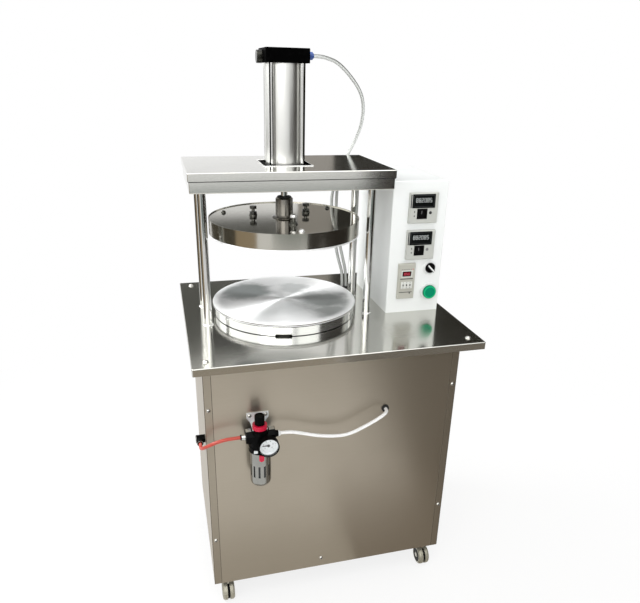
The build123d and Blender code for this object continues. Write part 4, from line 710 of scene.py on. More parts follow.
@dataclass(frozen=True)
class ClearTube(Finish):
    """Clear tube with painted shade: its colour is darker along the outer and the inner sides of
    its bends, which face a fixed direction and its opposite.
    """

    colour: Colour
    shade: Colour
    painted_shade_side: Point = (0.75, 0.0, 0.66)
    outer_reach: Pair = (0.05, 0.65)
    inner_reach: Pair = (0.3, 0.85)
    inner_share: float = 0.6
    core_alpha: float = 0.82
    painted_shade_alpha: float = 0.95
    roughness: float = 0.1
    haze: float = 0.06
    haze_size: float = 90.0

    def inputs(self, sheet: NodeSheet) -> Inputs:
        """The share of painted shade follows how far the surface faces along a fixed direction in
        the bend's plane.

        Args:
            sheet: The material's node sheet.

        Returns:
            The shader's inputs.
        """
        normal = sheet.node("ShaderNodeTexCoord", out="Normal")
        sockets = {0: normal, 1: self.painted_shade_side}
        facing = sheet.node("ShaderNodeVectorMath", {"operation": "DOT_PRODUCT"}, sockets, "Value")
        outer = 1.0 - sheet.fade(facing, *self.outer_reach)
        inner = 1.0 - sheet.fade(-1.0 * facing, *self.inner_reach)
        # wall is the share of painted shade, darkest where the surface faces the fixed direction
        wall = outer.most(self.inner_share * inner)
        cloud = sheet.noise(Detail.PLAIN, self.haze_size)
        return {
            "Base Color": sheet.tint(wall, self.colour, self.shade),
            "Roughness": self.roughness + self.haze * cloud,
            "Alpha": self.core_alpha + (self.painted_shade_alpha - self.core_alpha) * wall,
        }


@dataclass(frozen=True)
class LitSegment(Finish):
    """A display segment that glows faintly."""

    colour: Colour
    glow: float
    roughness: float = 0.4
    grain_size: float = 900.0
    dim_tone: float = 0.6

    def inputs(self, sheet: NodeSheet) -> Inputs:
        """The glow is uneven over a segment, as behind a real filter.

        Args:
            sheet: The material's node sheet.

        Returns:
            The shader's inputs.
        """
        uneven = sheet.noise(Detail.PLAIN, self.grain_size)
        lit = sheet.tint(uneven, self.colour, toned(self.colour, self.dim_tone))
        return {
            "Base Color": lit,
            "Roughness": self.roughness,
            "Emission Color": lit,
            "Emission Strength": self.glow,
        }


@dataclass(frozen=True)
class HeatTint(Finish):
    """Steel tube with the straw and blue tints of heating."""

    cool: Colour
    hot: Colour
    metallic: float = 0.9
    roughness: float = 0.35
    patch_size: float = 22.0
    patch_swing: float = 0.25

    def inputs(self, sheet: NodeSheet) -> Inputs:
        """Tints lie in slow patches.

        Args:
            sheet: The material's node sheet.

        Returns:
            The shader's inputs.
        """
        patch = sheet.noise(Detail.FINE, self.patch_size)
        return {
            "Base Color": sheet.tint(patch, self.cool, self.hot),
            "Metallic": self.metallic,
            "Roughness": self.roughness + self.patch_swing * patch,
        }


CABINET_STEEL = BrushedSheet(
    "cabinet_steel",
    light=(0.5, 0.45, 0.375),
    dark=(0.4, 0.355, 0.285),
    grain=Grain.ALONG_X,
    roughness=0.33,
    anisotropy=0.8,
)
# Painted shade: the side panels take a darker copy of the cabinet's steel.
SHADED_SIDE_STEEL = BrushedSheet(
    "shaded_side_steel",
    light=(0.43, 0.385, 0.315),
    dark=(0.34, 0.3, 0.24),
    grain=Grain.ALONG_X,
    roughness=0.4,
    anisotropy=0.6,
)
TABLE_STEEL = WipedSheet(
    "table_steel",
    light=(0.66, 0.66, 0.62),
    dark=(0.55, 0.54, 0.5),
    grain=Grain.ALONG_X,
    roughness=0.11,
    rough_swing=0.05,
)
CROSSHEAD_STEEL = BrushedSheet(
    "crosshead_steel",
    light=(0.74, 0.74, 0.71),
    dark=(0.62, 0.61, 0.57),
    grain=Grain.ALONG_X,
    roughness=0.13,
    rough_swing=0.05,
)
BARREL_ALUMINIUM = BrushedSheet(
    "barrel_aluminium",
    light=(0.74, 0.74, 0.72),
    dark=(0.63, 0.63, 0.6),
    grain=Grain.ALONG_Z,
    roughness=0.3,
    cloud_size=12.0,
)
PAN_STEEL = PanSheet(
    "pan_steel",
    light=(0.55, 0.54, 0.485),
    dark=(0.44, 0.42, 0.37),
    grain=Grain.ALONG_X,
    roughness=0.085,
    line_strength=0.03,
    rough_swing=0.03,
)
BAND_STEEL = PolishedMetal("band_steel", (0.97, 0.98, 0.98), roughness=0.16, metallic=0.97)
COLUMN_CHROME = PolishedMetal("column_chrome", (0.67, 0.67, 0.65), roughness=0.1, smudge=0.06)
DOME_CHROME = PolishedMetal("dome_chrome", (0.95, 0.95, 0.93), roughness=0.16, metallic=0.7)
SCREW_STEEL = PolishedMetal("screw_steel", (0.62, 0.61, 0.57), roughness=0.24)
BOLT_OXIDE = PolishedMetal("bolt_oxide", (0.1, 0.1, 0.09), roughness=0.2)
BRACKET_STEEL = PolishedMetal("bracket_steel", (0.86, 0.9, 0.9), roughness=0.4, metallic=0.45)
# Painted highlight on the regulator's port shoulders.
PORT_HIGHLIGHT_METAL = PolishedMetal("port_highlight_metal", (0.5, 0.51, 0.5), roughness=0.3)
PLUG_STEEL = PolishedMetal("plug_steel", (0.035, 0.035, 0.03), roughness=0.22)
FITTING_METAL = PolishedMetal("fitting_metal", (0.76, 0.76, 0.73), roughness=0.2)
CASTER_STEEL = PolishedMetal("caster_steel", (0.6, 0.58, 0.52), roughness=0.24)
CASTER_SHELL = PolishedMetal("caster_shell", (0.42, 0.4, 0.32), roughness=0.42, metallic=0.5)
GUARD_STEEL = PolishedMetal("guard_steel", (0.36, 0.36, 0.335), roughness=0.22)
VALVE_ALUMINIUM = PolishedMetal("valve_aluminium", (0.62, 0.63, 0.64), roughness=0.35)
COUPLING_STEEL = TurnedMetal(
    "coupling_steel",
    colour=(0.24, 0.23, 0.21),
    shade=(0.16, 0.15, 0.14),
    centre=PRESS_AXIS,
    roughness=0.24,
    ring_pitch=0.8,
    anisotropy=0.3,
)
PLATEN_ALUMINIUM = TurnedMetal(
    "platen_aluminium",
    colour=(0.97, 0.97, 0.97),
    shade=(0.91, 0.92, 0.92),
    centre=PRESS_AXIS,
    roughness=0.46,
    ring_pitch=0.6,
    ring_strength=0.1,
    anisotropy=0.95,
    stain=0.8,
    stain_and_shade_colour=(0.27, 0.295, 0.29),
    clean_rim=(154.0, 174.0),
    dull_rim=0.5,
    # Painted shade: dark patches on the turned face where its reflection is dark.
    shade_patches=(
        ShadePatch((-165.0, 86.0), reach=88.0, depth=0.9),
        ShadePatch((14.0, -16.0), reach=88.0, depth=0.8),
        ShadePatch((-38.0, 88.0), reach=50.0, depth=0.4),
        ShadePatch((16.0, -92.0), reach=62.0, depth=0.6),
    ),
)
HEATER_STEEL = HeatTint("heater_steel", cool=(0.34, 0.3, 0.24), hot=(0.16, 0.13, 0.14))
FRAME_PAINT = CastPaint(
    "frame_paint", (0.045, 0.045, 0.05), rubbed=(0.16, 0.15, 0.14), roughness=0.55
)
CAP_BLACK = CastPaint(
    "cap_black", (0.001, 0.001, 0.001), rubbed=(0.004, 0.004, 0.004), roughness=0.4, gloss=0.004
)
REGULATOR_BLACK = CastPaint(
    "regulator_black",
    (0.002, 0.002, 0.002),
    rubbed=(0.008, 0.008, 0.008),
    roughness=0.24,
    gloss=0.04,
)
GAUGE_BLACK = CastPaint(
    "gauge_black", (0.002, 0.002, 0.002), rubbed=(0.006, 0.006, 0.006), roughness=0.34, gloss=0.015
)
BOX_WHITE = PowderCoat("box_white", (0.85, 0.87, 0.86))
CONTROLLER_WHITE = Moulding("controller_white", (0.5, 0.51, 0.475), roughness=0.4, drift=0.08)
TIMER_GREY = Moulding("timer_grey", (0.47, 0.465, 0.41), roughness=0.42, drift=0.08)
KEY_WHITE = Moulding("key_white", (0.68, 0.69, 0.65), roughness=0.38, drift=0.05)
BEZEL_PALE = Moulding("bezel_pale", (0.78, 0.8, 0.79), roughness=0.32, drift=0.05)
SWITCH_BLACK = Moulding("switch_black", (0.004, 0.004, 0.004), roughness=0.35, gloss=0.08)
BUTTON_GREEN = Moulding(
    "button_green", (0.0, 0.25, 0.125), roughness=0.3, drift=0.08, gloss=0.08, coat=0.02
)
# Painted highlight: a brighter copy of the button's green, on its rim.
BUTTON_RIM_HIGHLIGHT = Moulding(
    "button_rim_highlight", (0.01, 0.46, 0.2), roughness=0.3, drift=0.08, gloss=0.1, coat=0.02
)
SEAM_SHADE = Moulding("seam_shade", (0.1, 0.085, 0.065), roughness=0.6, gloss=0.2)
SIGNAL_RED = Moulding(
    "signal_red", (0.6, 0.008, 0.045), roughness=0.26, drift=0.12, gloss=0.3, coat=0.12
)
RELEASE_BLUE = Moulding("release_blue", (0.025, 0.075, 0.3), roughness=0.35)
RELEASE_PALE = Moulding("release_pale", (0.7, 0.7, 0.68), roughness=0.35)
RUBBER = Moulding(
    "grommet_rubber",
    (0.02, 0.02, 0.02),
    roughness=0.62,
    drift=0.3,
    grain_size=900.0,
    grain_strength=0.2,
    gloss=0.3,
)
FILTER_BRONZE = Moulding(
    "filter_bronze",
    (0.06, 0.05, 0.035),
    roughness=0.75,
    drift=0.2,
    grain_size=700.0,
    grain_strength=0.4,
    gloss=0.1,
)
GAUGE_WHITE = Moulding("gauge_white", (0.86, 0.89, 0.9), roughness=0.45, drift=0.03)
INK_BLACK = Moulding("ink_black", (0.02, 0.02, 0.022), roughness=0.5)
INK_GREY = Moulding("ink_grey", (0.2, 0.2, 0.2), roughness=0.5)
INK_RED = Moulding("ink_red", (0.5, 0.06, 0.05), roughness=0.5)
DISPLAY_DARK = Moulding(
    "display_dark", (0.004, 0.005, 0.005), roughness=0.16, drift=0.2, gloss=0.06, coat=0.02
)
DISPLAY_RED = Moulding(
    "display_red", (0.12, 0.008, 0.016), roughness=0.2, drift=0.2, gloss=0.12, coat=0.05
)
SEGMENT_GREY = LitSegment("segment_grey", (0.5, 0.53, 0.52), glow=0.34)
# Painted light: the unlit segments and the display's line glow faintly.
SEGMENT_FAINT = LitSegment("segment_faint", (0.05, 0.055, 0.055), glow=0.04)
SEGMENT_RED = LitSegment("segment_red", (0.6, 0.05, 0.08), glow=0.5)
BOWL_CLEAR = ClearMoulding("bowl_clear", (0.04, 0.045, 0.045), roughness=0.06, transmission=0.6)
GAUGE_GLASS = ClearMoulding(
    "gauge_glass", (0.98, 0.99, 0.99), roughness=0.01, transmission=0.0, haze=0.02, alpha=0.06
)
HOSE_RED = Moulding(
    "hose_red",
    (0.5, 0.07, 0.05),
    roughness=0.3,
    drift=0.16,
    grain_size=300.0,
    grain_strength=0.06,
    gloss=0.3,
    coat=0.15,
)
HOSE_WHITE = Moulding(
    "hose_white",
    (0.88, 0.88, 0.87),
    roughness=0.28,
    drift=0.05,
    grain_size=300.0,
    grain_strength=0.06,
    coat=0.3,
)
# Painted shade: the clear hoses darken on the sides that face a fixed direction.
HOSE_CLEAR = ClearTube("hose_clear", (0.74, 0.76, 0.74), shade=(0.14, 0.145, 0.135))


# Mesh building


class Mould:
    """A mesh in the making, in millimetres, that faces up until it is set in place."""

    def __init__(self) -> None:
        """Starts an empty mesh."""
        self.mesh = bmesh.new()

    def _top_edges(self, height: float) -> list[bmesh.types.BMEdge]:
        """Finds the edges that lie at a height.

        Args:
            height: The height.

        Returns:
            The edges.
        """
        return [
            edge
            for edge in self.mesh.edges
            if all(abs(vert.co.z - height) < MM for vert in edge.verts)
        ]

    def _round(self, edges: list[bmesh.types.BMEdge], radius: float, segments: int) -> None:
        """Rounds edges with a bevel.

        Args:
            edges: The edges.
            radius: Radius of the rounding.
            segments: Number of flats across it.
        """
        bmesh.ops.bevel(
            self.mesh,
            geom=edges,
            offset=radius,
            offset_type="OFFSET",
            affect="EDGES",
            segments=segments,
            profile=0.5,
            material=-1,
        )

    def block(self, size: Point, corner: float = 0.0, edge: float = 0.0) -> "Mould":
        """A block that stands on its own origin.

        Args:
            size: Width, height on the face and depth out of the face.
            corner: Radius of the four corners seen from the front.
            edge: Radius of the front edge.

        Returns:
            This mould.
        """
        bmesh.ops.create_cube(self.mesh, size=1.0)
        bmesh.ops.translate(self.mesh, vec=(0.0, 0.0, 0.5), verts=self.mesh.verts[:])
        bmesh.ops.scale(self.mesh, vec=size, verts=self.mesh.verts[:])
        if corner:
            upright = [
                side
                for side in self.mesh.edges
                if abs(side.verts[0].co.z - side.verts[1].co.z) > MM
            ]
            self._round(upright, corner, CORNER_SEGMENTS)
        if edge:
            self._round(self._top_edges(size[2]), edge, EDGE_SEGMENTS)
        return self

    def turned(self, profile: Sequence[Pair], steps: int = 48) -> "Mould":
        """A shape spun about its own axis.

        Args:
            profile: (radius, height) points from the bottom to the top.
            steps: Number of sides.

        Returns:
            This mould.
        """
        points = [self.mesh.verts.new((radius, 0.0, height)) for radius, height in profile]
        edges = [self.mesh.edges.new(pair) for pair in zip(points, points[1:])]
        bmesh.ops.spin(
            self.mesh,
            geom=[*points, *edges],
            cent=(0.0, 0.0, 0.0),
            axis=(0.0, 0.0, 1.0),
            angle=FULL_TURN,
            steps=steps,
            use_merge=True,
        )
        return self._close()

    def hexagon(self, radius: float, height: float, rounding: float) -> "Mould":
        """A hexagonal bar that stands on its own origin.

        Args:
            radius: Distance of its corners from the axis.
            height: Its height.
            rounding: Radius of the top edges.

        Returns:
            This mould.
        """
        bmesh.ops.create_cone(
            self.mesh, cap_ends=True, segments=HEXAGON, radius1=radius, radius2=radius, depth=height
        )
        self._round(self._top_edges(height / 2), rounding, EDGE_SEGMENTS)
        return self.move((0.0, 0.0, height / 2))

    def prism(self, outline: Sequence[Pair], depth: float, edge: float = 0.0) -> "Mould":
        """A flat outline drawn out to a depth.

        Args:
            outline: Corners, counter-clockwise.
            depth: Height of the prism.
            edge: Radius of the front edge.

        Returns:
            This mould.
        """
        face = self.mesh.faces.new([self.mesh.verts.new((x, y, 0.0)) for x, y in outline])
        grown = bmesh.ops.extrude_face_region(self.mesh, geom=[face], use_keep_orig=True)
        tops = [part for part in grown["geom"] if isinstance(part, bmesh.types.BMVert)]
        bmesh.ops.translate(self.mesh, vec=(0.0, 0.0, depth), verts=tops)
        if edge:
            self._round(self._top_edges(depth), edge, EDGE_SEGMENTS)
        return self._close()

    def words(self, text: str, size: float, depth: float) -> "Mould":
        """Numerals of a scale, centred on the origin.

        Args:
            text: The numerals.
            size: Height of the type.
            depth: How far they stand out.

        Returns:
            This mould.
        """
        curve = bpy.data.curves.new("numerals", "FONT")
        curve.body = text
        curve.size = size
        curve.align_x = "CENTER"
        curve.align_y = "CENTER"
        curve.extrude = depth / 2
        holder = bpy.data.objects.new("numerals", curve)
        made = bpy.data.meshes.new_from_object(holder)
        self.mesh.from_mesh(made)
        bpy.data.objects.remove(holder)
        bpy.data.curves.remove(curve)
        bpy.data.meshes.remove(made)
        return self.move((0.0, 0.0, depth / 2))

    def _close(self) -> "Mould":
        """Merges doubles and turns the faces outwards.

        Returns:
            This mould.
        """
        bmesh.ops.remove_doubles(self.mesh, verts=self.mesh.verts[:], dist=MM)
        bmesh.ops.recalc_face_normals(self.mesh, faces=self.mesh.faces[:])
        return self

    def move(self, shift: Point) -> "Mould":
        """Moves all that is made so far."""
        bmesh.ops.translate(self.mesh, vec=shift, verts=self.mesh.verts[:])
        return self

    def turn(self, degrees: float) -> "Mould":
        """Turns all that is made so far on the face.

        Args:
            degrees: The angle.

        Returns:
            This mould.
        """
        matrix = Matrix.Rotation(math.radians(degrees), 3, "Z")
        bmesh.ops.rotate(self.mesh, cent=(0.0, 0.0, 0.0), matrix=matrix, verts=self.mesh.verts[:])
        return self

    def around(self, count: int, sweep: float) -> "Mould":
        """Repeats all that is made so far about the axis.

        Args:
            count: How many there are in all.
            sweep: Angle from the first to the last, in degrees.

        Returns:
            This mould.
        """
        bmesh.ops.spin(
            self.mesh,
            geom=[*self.mesh.verts, *self.mesh.edges, *self.mesh.faces],
            cent=(0.0, 0.0, 0.0),
            axis=(0.0, 0.0, 1.0),
            angle=math.radians(sweep),
            steps=count - 1,
            use_duplicate=True,
        )
        return self

    def join(self, other: "Mould") -> "Mould":
        """Takes another mould's mesh into this one.

        Args:
            other: The other mould, which is used up.

        Returns:
            This mould.
        """
        carrier = bpy.data.meshes.new("carrier")
        other.mesh.to_mesh(carrier)
        self.mesh.from_mesh(carrier)
        bpy.data.meshes.remove(carrier)
        other.mesh.free()
        return self

    def at(self, place: Point, facing: Facing = Facing.UP) -> "Mould":
        """Turns the shape to face a way and sets it in place.

        Args:
            place: Where its origin goes.
            facing: The way that its top comes to face.

        Returns:
            This mould.
        """
        matrix = Matrix.Translation(place) @ facing.matrix()
        bmesh.ops.transform(self.mesh, matrix=matrix, verts=self.mesh.verts[:])
        return self

    def piece(self, name: str, body: str, finish: Finish, slot: str) -> bpy.types.Object:
        """Ends the mould in an object that rides on a body.

        Args:
            name: The piece's name.
            body: The CAD body that it moves with.
            finish: Its finish.
            slot: The record's material slot; it is not used.

        Returns:
            The object.
        """
        bmesh.ops.scale(self.mesh, vec=(MM, MM, MM), verts=self.mesh.verts[:])
        data = bpy.data.meshes.new(name)
        self.mesh.to_mesh(data)
        self.mesh.free()
        data.shade_smooth()
        data.set_sharp_from_angle(angle=SHARP_ANGLE)
        data.materials.append(finish.material())
        made = bpy.data.objects.new(name, data)
        bpy.context.scene.collection.objects.link(made)
        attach(made, body)
        log.info("piece %s rides %s", name, body)
        return made


def dress(finish: Finish, *nodes: str) -> None:
    """Gives CAD nodes a finish.

    Args:
        finish: The finish.
        nodes: Names of the nodes.
    """
    for node in nodes:
        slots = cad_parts[node].data.materials
        slots.clear()
        slots.append(finish.material())
        log.info("node %s is %s", node, finish.name)


def recess_shade_cross(size: float, width: float, depth: float) -> Mould:
    """A flat cross in the shape of a screw's driver recess; laid in black ink, it is painted shade.

    Args:
        size: Length of an arm, tip to tip.
        width: Width of an arm.
        depth: Thickness of the cross.

    Returns:
        A mould that faces up.
    """
    cross = Mould().block((size, width, depth))
    return cross.join(Mould().block((width, size, depth)))


@dataclass(frozen=True)
class Border:
    """Four bars round a rectangle."""

    along: Point
    across: Point
    reach: Pair
    corner: float = 0.0
    edge: float = 0.0

    def mould(self) -> Mould:
        """Lays the bars, two along the rectangle and two across it.

        Returns:
            A mould that faces up, about the rectangle's middle.
        """
        bars = Mould()
        reach_x, reach_y = self.reach
        for side in SIDES:
            along = Mould().block(self.along, self.corner, self.edge)
            bars.join(along.move((0.0, side * reach_y, 0.0)))
            across = Mould().block(self.across, self.corner, self.edge)
            bars.join(across.move((side * reach_x, 0.0, 0.0)))
        return bars


# Sub-assemblies


@dataclass
class Cabinet:
    """Wheeled sheet cabinet on a welded angle frame, with the table on it."""

    front_y: float = -203.0
    strip_x: float = 293.0
    strip_heights: Pair = (205.0, 567.0)
    kick_spot: Pair = (-27.0, 92.0)
    bracket_x: Pair = (-203.0, -167.0)
    bracket_z: float = 544.0
    bracket_t: float = 2.0
    bracket_screw_turn: float = 20.0
    head_h: float = 3.0
    recess: Point = (4.6, 1.1, 0.6)
    recess_sunk: float = 0.5
    strip_edges: Pair = (301.2, 284.2)
    strip_shade_line: Point = (1.2, 630.0, 0.25)
    strip_shade_line_edge: float = 0.1
    strip_mid: float = 384.0

    def dress_nodes(self) -> None:
        """Gives the sheets, the frame and the screws their finishes."""
        dress(CABINET_STEEL, "front_panel", "rear_panel")
        dress(SHADED_SIDE_STEEL, "left_panel", "right_panel")
        dress(TABLE_STEEL, "table_top")
        dress(FRAME_PAINT, "cabinet_frame", "press_bed")
        dress(SCREW_STEEL, "cabinet_screws")
        dress(RUBBER, "grommets")
        dress(VALVE_ALUMINIUM, "solenoid_valve")

    def build_recess_shades(self) -> None:
        """Sets a flat black cross into each screw head, as painted shade for its driver recess."""
        depth = self.head_h - self.recess_sunk
        crosses = Mould()
        spots = [(side * self.strip_x, z) for side in SIDES for z in self.strip_heights]
        for x, z in spots:
            crosses.join(recess_shade_cross(*self.recess).at((x, self.front_y - depth, z), Facing.FRONT))
            crosses.join(recess_shade_cross(*self.recess).at((x, -self.front_y + depth, z), Facing.REAR))
        kick_x, kick_z = self.kick_spot
        kick = (kick_x, self.front_y - depth, kick_z)
        crosses.join(recess_shade_cross(*self.recess).at(kick, Facing.FRONT))
        for x in self.bracket_x:
            spot = (x, self.front_y - self.bracket_t - depth, self.bracket_z)
            turned = recess_shade_cross(*self.recess).turn(self.bracket_screw_turn)
            crosses.join(turned.at(spot, Facing.FRONT))
        # Painted shade: black ink where the driver recess is dark.
        crosses.piece("screw_recess_shades", "cabinet", INK_BLACK, "screw_steel")

    def build_strip_shade_lines(self) -> None:
        """Adds painted shade: dark lines along the corner strips' bend and their inner edge."""
        lines = Mould()
        for side in SIDES:
            for x in self.strip_edges:
                shade_line = Mould().block(self.strip_shade_line, edge=self.strip_shade_line_edge)
                lines.join(shade_line.at((side * x, self.front_y, self.strip_mid), Facing.FRONT))
        # Painted shade along the bend and the inner edge.
        lines.piece("strip_shade_lines", "cabinet", SEAM_SHADE, "cabinet_steel")

    def build(self) -> None:
        """Dresses the cabinet and adds its small parts."""
        self.dress_nodes()
        self.build_recess_shades()
        self.build_strip_shade_lines()


@dataclass
class PressHead:
    """Columns, crosshead and air cylinder."""

    ring: Point = (-15.0, 17.5, 1290.5)
    ring_profile: Profile = ((4.1, 0.0), (6.2, 0.0), (6.2, 1.2), (5.4, 2.6), (4.1, 2.6))
    sleeve: Point = (-30.3, 17.5, 1290.5)
    sleeve_profile: Profile = ((8.05, 0.0), (8.2, 0.0), (8.2, 15.0), (8.0, 15.3), (4.1, 15.3))
    plug: Point = (-125.5, 17.5, 1286.5)
    plug_profile: Profile = ((12.9, 0.0), (13.1, 0.2), (13.1, 11.6), (12.3, 12.4), (0.0, 12.4))
    bulkhead: Point = (84.0, 132.0, 1012.0)
    rod_shade_spots: tuple[Point, ...] = ((-114.9, -19.8, 1063.0), (-40.8, -19.6, 1063.0))
    rod_shade_size: Point = (4.4, 2.2, 212.0)
    rod_shade_corner: float = 0.6
    column_x: Pair = (-272.5, 116.5)
    column_y: Pair = (-45.25, 80.25)
    table_z: float = 707.0
    foot_profile: Profile = ((9.7, 0.0), (12.4, 0.0), (12.4, 1.0), (10.6, 2.6), (9.7, 2.6))
    highlight_frame_z: float = 1065.6
    highlight_frame: Border = Border((112.4, 2.2, 1.4), (2.2, 110.2, 1.4), (55.1, 55.1), 0.6, 0.3)
    lip_shade_z: float = 1046.4
    lip_shade: Border = Border((447.0, 0.9, 1.9), (0.9, 262.2, 1.9), (223.05, 131.55))

    def dress_nodes(self) -> None:
        """Gives the head's nodes their finishes."""
        dress(COLUMN_CHROME, "guide_columns", "tie_rods", "piston_rod")
        dress(CROSSHEAD_STEEL, "crosshead_cover", "crosshead_tray")
        # Painted shade: the crosshead plate takes the caps' near-black, so the opening round the
        # cylinder shows dark.
        dress(CAP_BLACK, "crosshead_plate")
        dress(BARREL_ALUMINIUM, "cylinder_tube")
        dress(CAP_BLACK, "cylinder_rear_cap", "cylinder_front_cap")
        dress(VALVE_ALUMINIUM, "piston")

    def build_lip_shade(self) -> None:
        """Adds painted shade: a dark line under the cover's lip, between the crosshead's two
        sheets.
        """
        shade_line = self.lip_shade.mould().at((*PRESS_AXIS, self.lip_shade_z))
        # Painted shade under the cover's lip.
        shade_line.piece("crosshead_lip_shade", "cabinet", RUBBER, "cap_black")

    def build_rod_shade(self) -> None:
        """Adds painted shade: dark bars in the grooves along the front tie rods."""
        strips = Mould()
        for spot in self.rod_shade_spots:
            strips.join(Mould().block(self.rod_shade_size, self.rod_shade_corner).at(spot))
        # Painted shade in the tie rods' grooves.
        strips.piece("tie_rod_shade_strips", "cabinet", CAP_BLACK, "cap_black")

    def build_feet(self) -> None:
        """Adds the rings that close the columns' holes in the table."""
        feet = Mould()
        for x in self.column_x:
            for y in self.column_y:
                feet.join(Mould().turned(self.foot_profile).at((x, y, self.table_z)))
        feet.piece("column_feet", "cabinet", DOME_CHROME, "column_chrome")

    def build_opening_highlight(self) -> None:
        """Adds a painted highlight: a bright chrome frame round the cylinder's opening."""
        highlight_frame = self.highlight_frame.mould().at((*PRESS_AXIS, self.highlight_frame_z))
        highlight_frame.piece("opening_highlight_frame", "cabinet", DOME_CHROME, "crosshead_steel")

    def build_release_rings(self) -> None:
        """Adds the plug's shell, and the release rings where the tubes enter the fittings."""
        upper = Mould().turned(self.ring_profile).at(self.ring, Facing.RIGHT)
        upper.join(Mould().turned(self.sleeve_profile).at(self.sleeve, Facing.RIGHT))
        upper.piece("cap_release_ring", "cabinet", RELEASE_BLUE, "fitting_metal")
        plug = Mould().turned(self.plug_profile).at(self.plug, Facing.LEFT)
        plug.piece("cap_plug_shell", "cabinet", PLUG_STEEL, "fitting_metal")
        lower = Mould().turned(self.ring_profile).at(self.bulkhead, Facing.DOWN)
        lower.piece("bulkhead_release_ring", "cabinet", RELEASE_BLUE, "fitting_metal")

    def build(self) -> None:
        """Dresses the head and adds its small parts."""
        self.dress_nodes()
        self.build_lip_shade()
        self.build_rod_shade()
        self.build_feet()
        self.build_opening_highlight()
        self.build_release_rings()


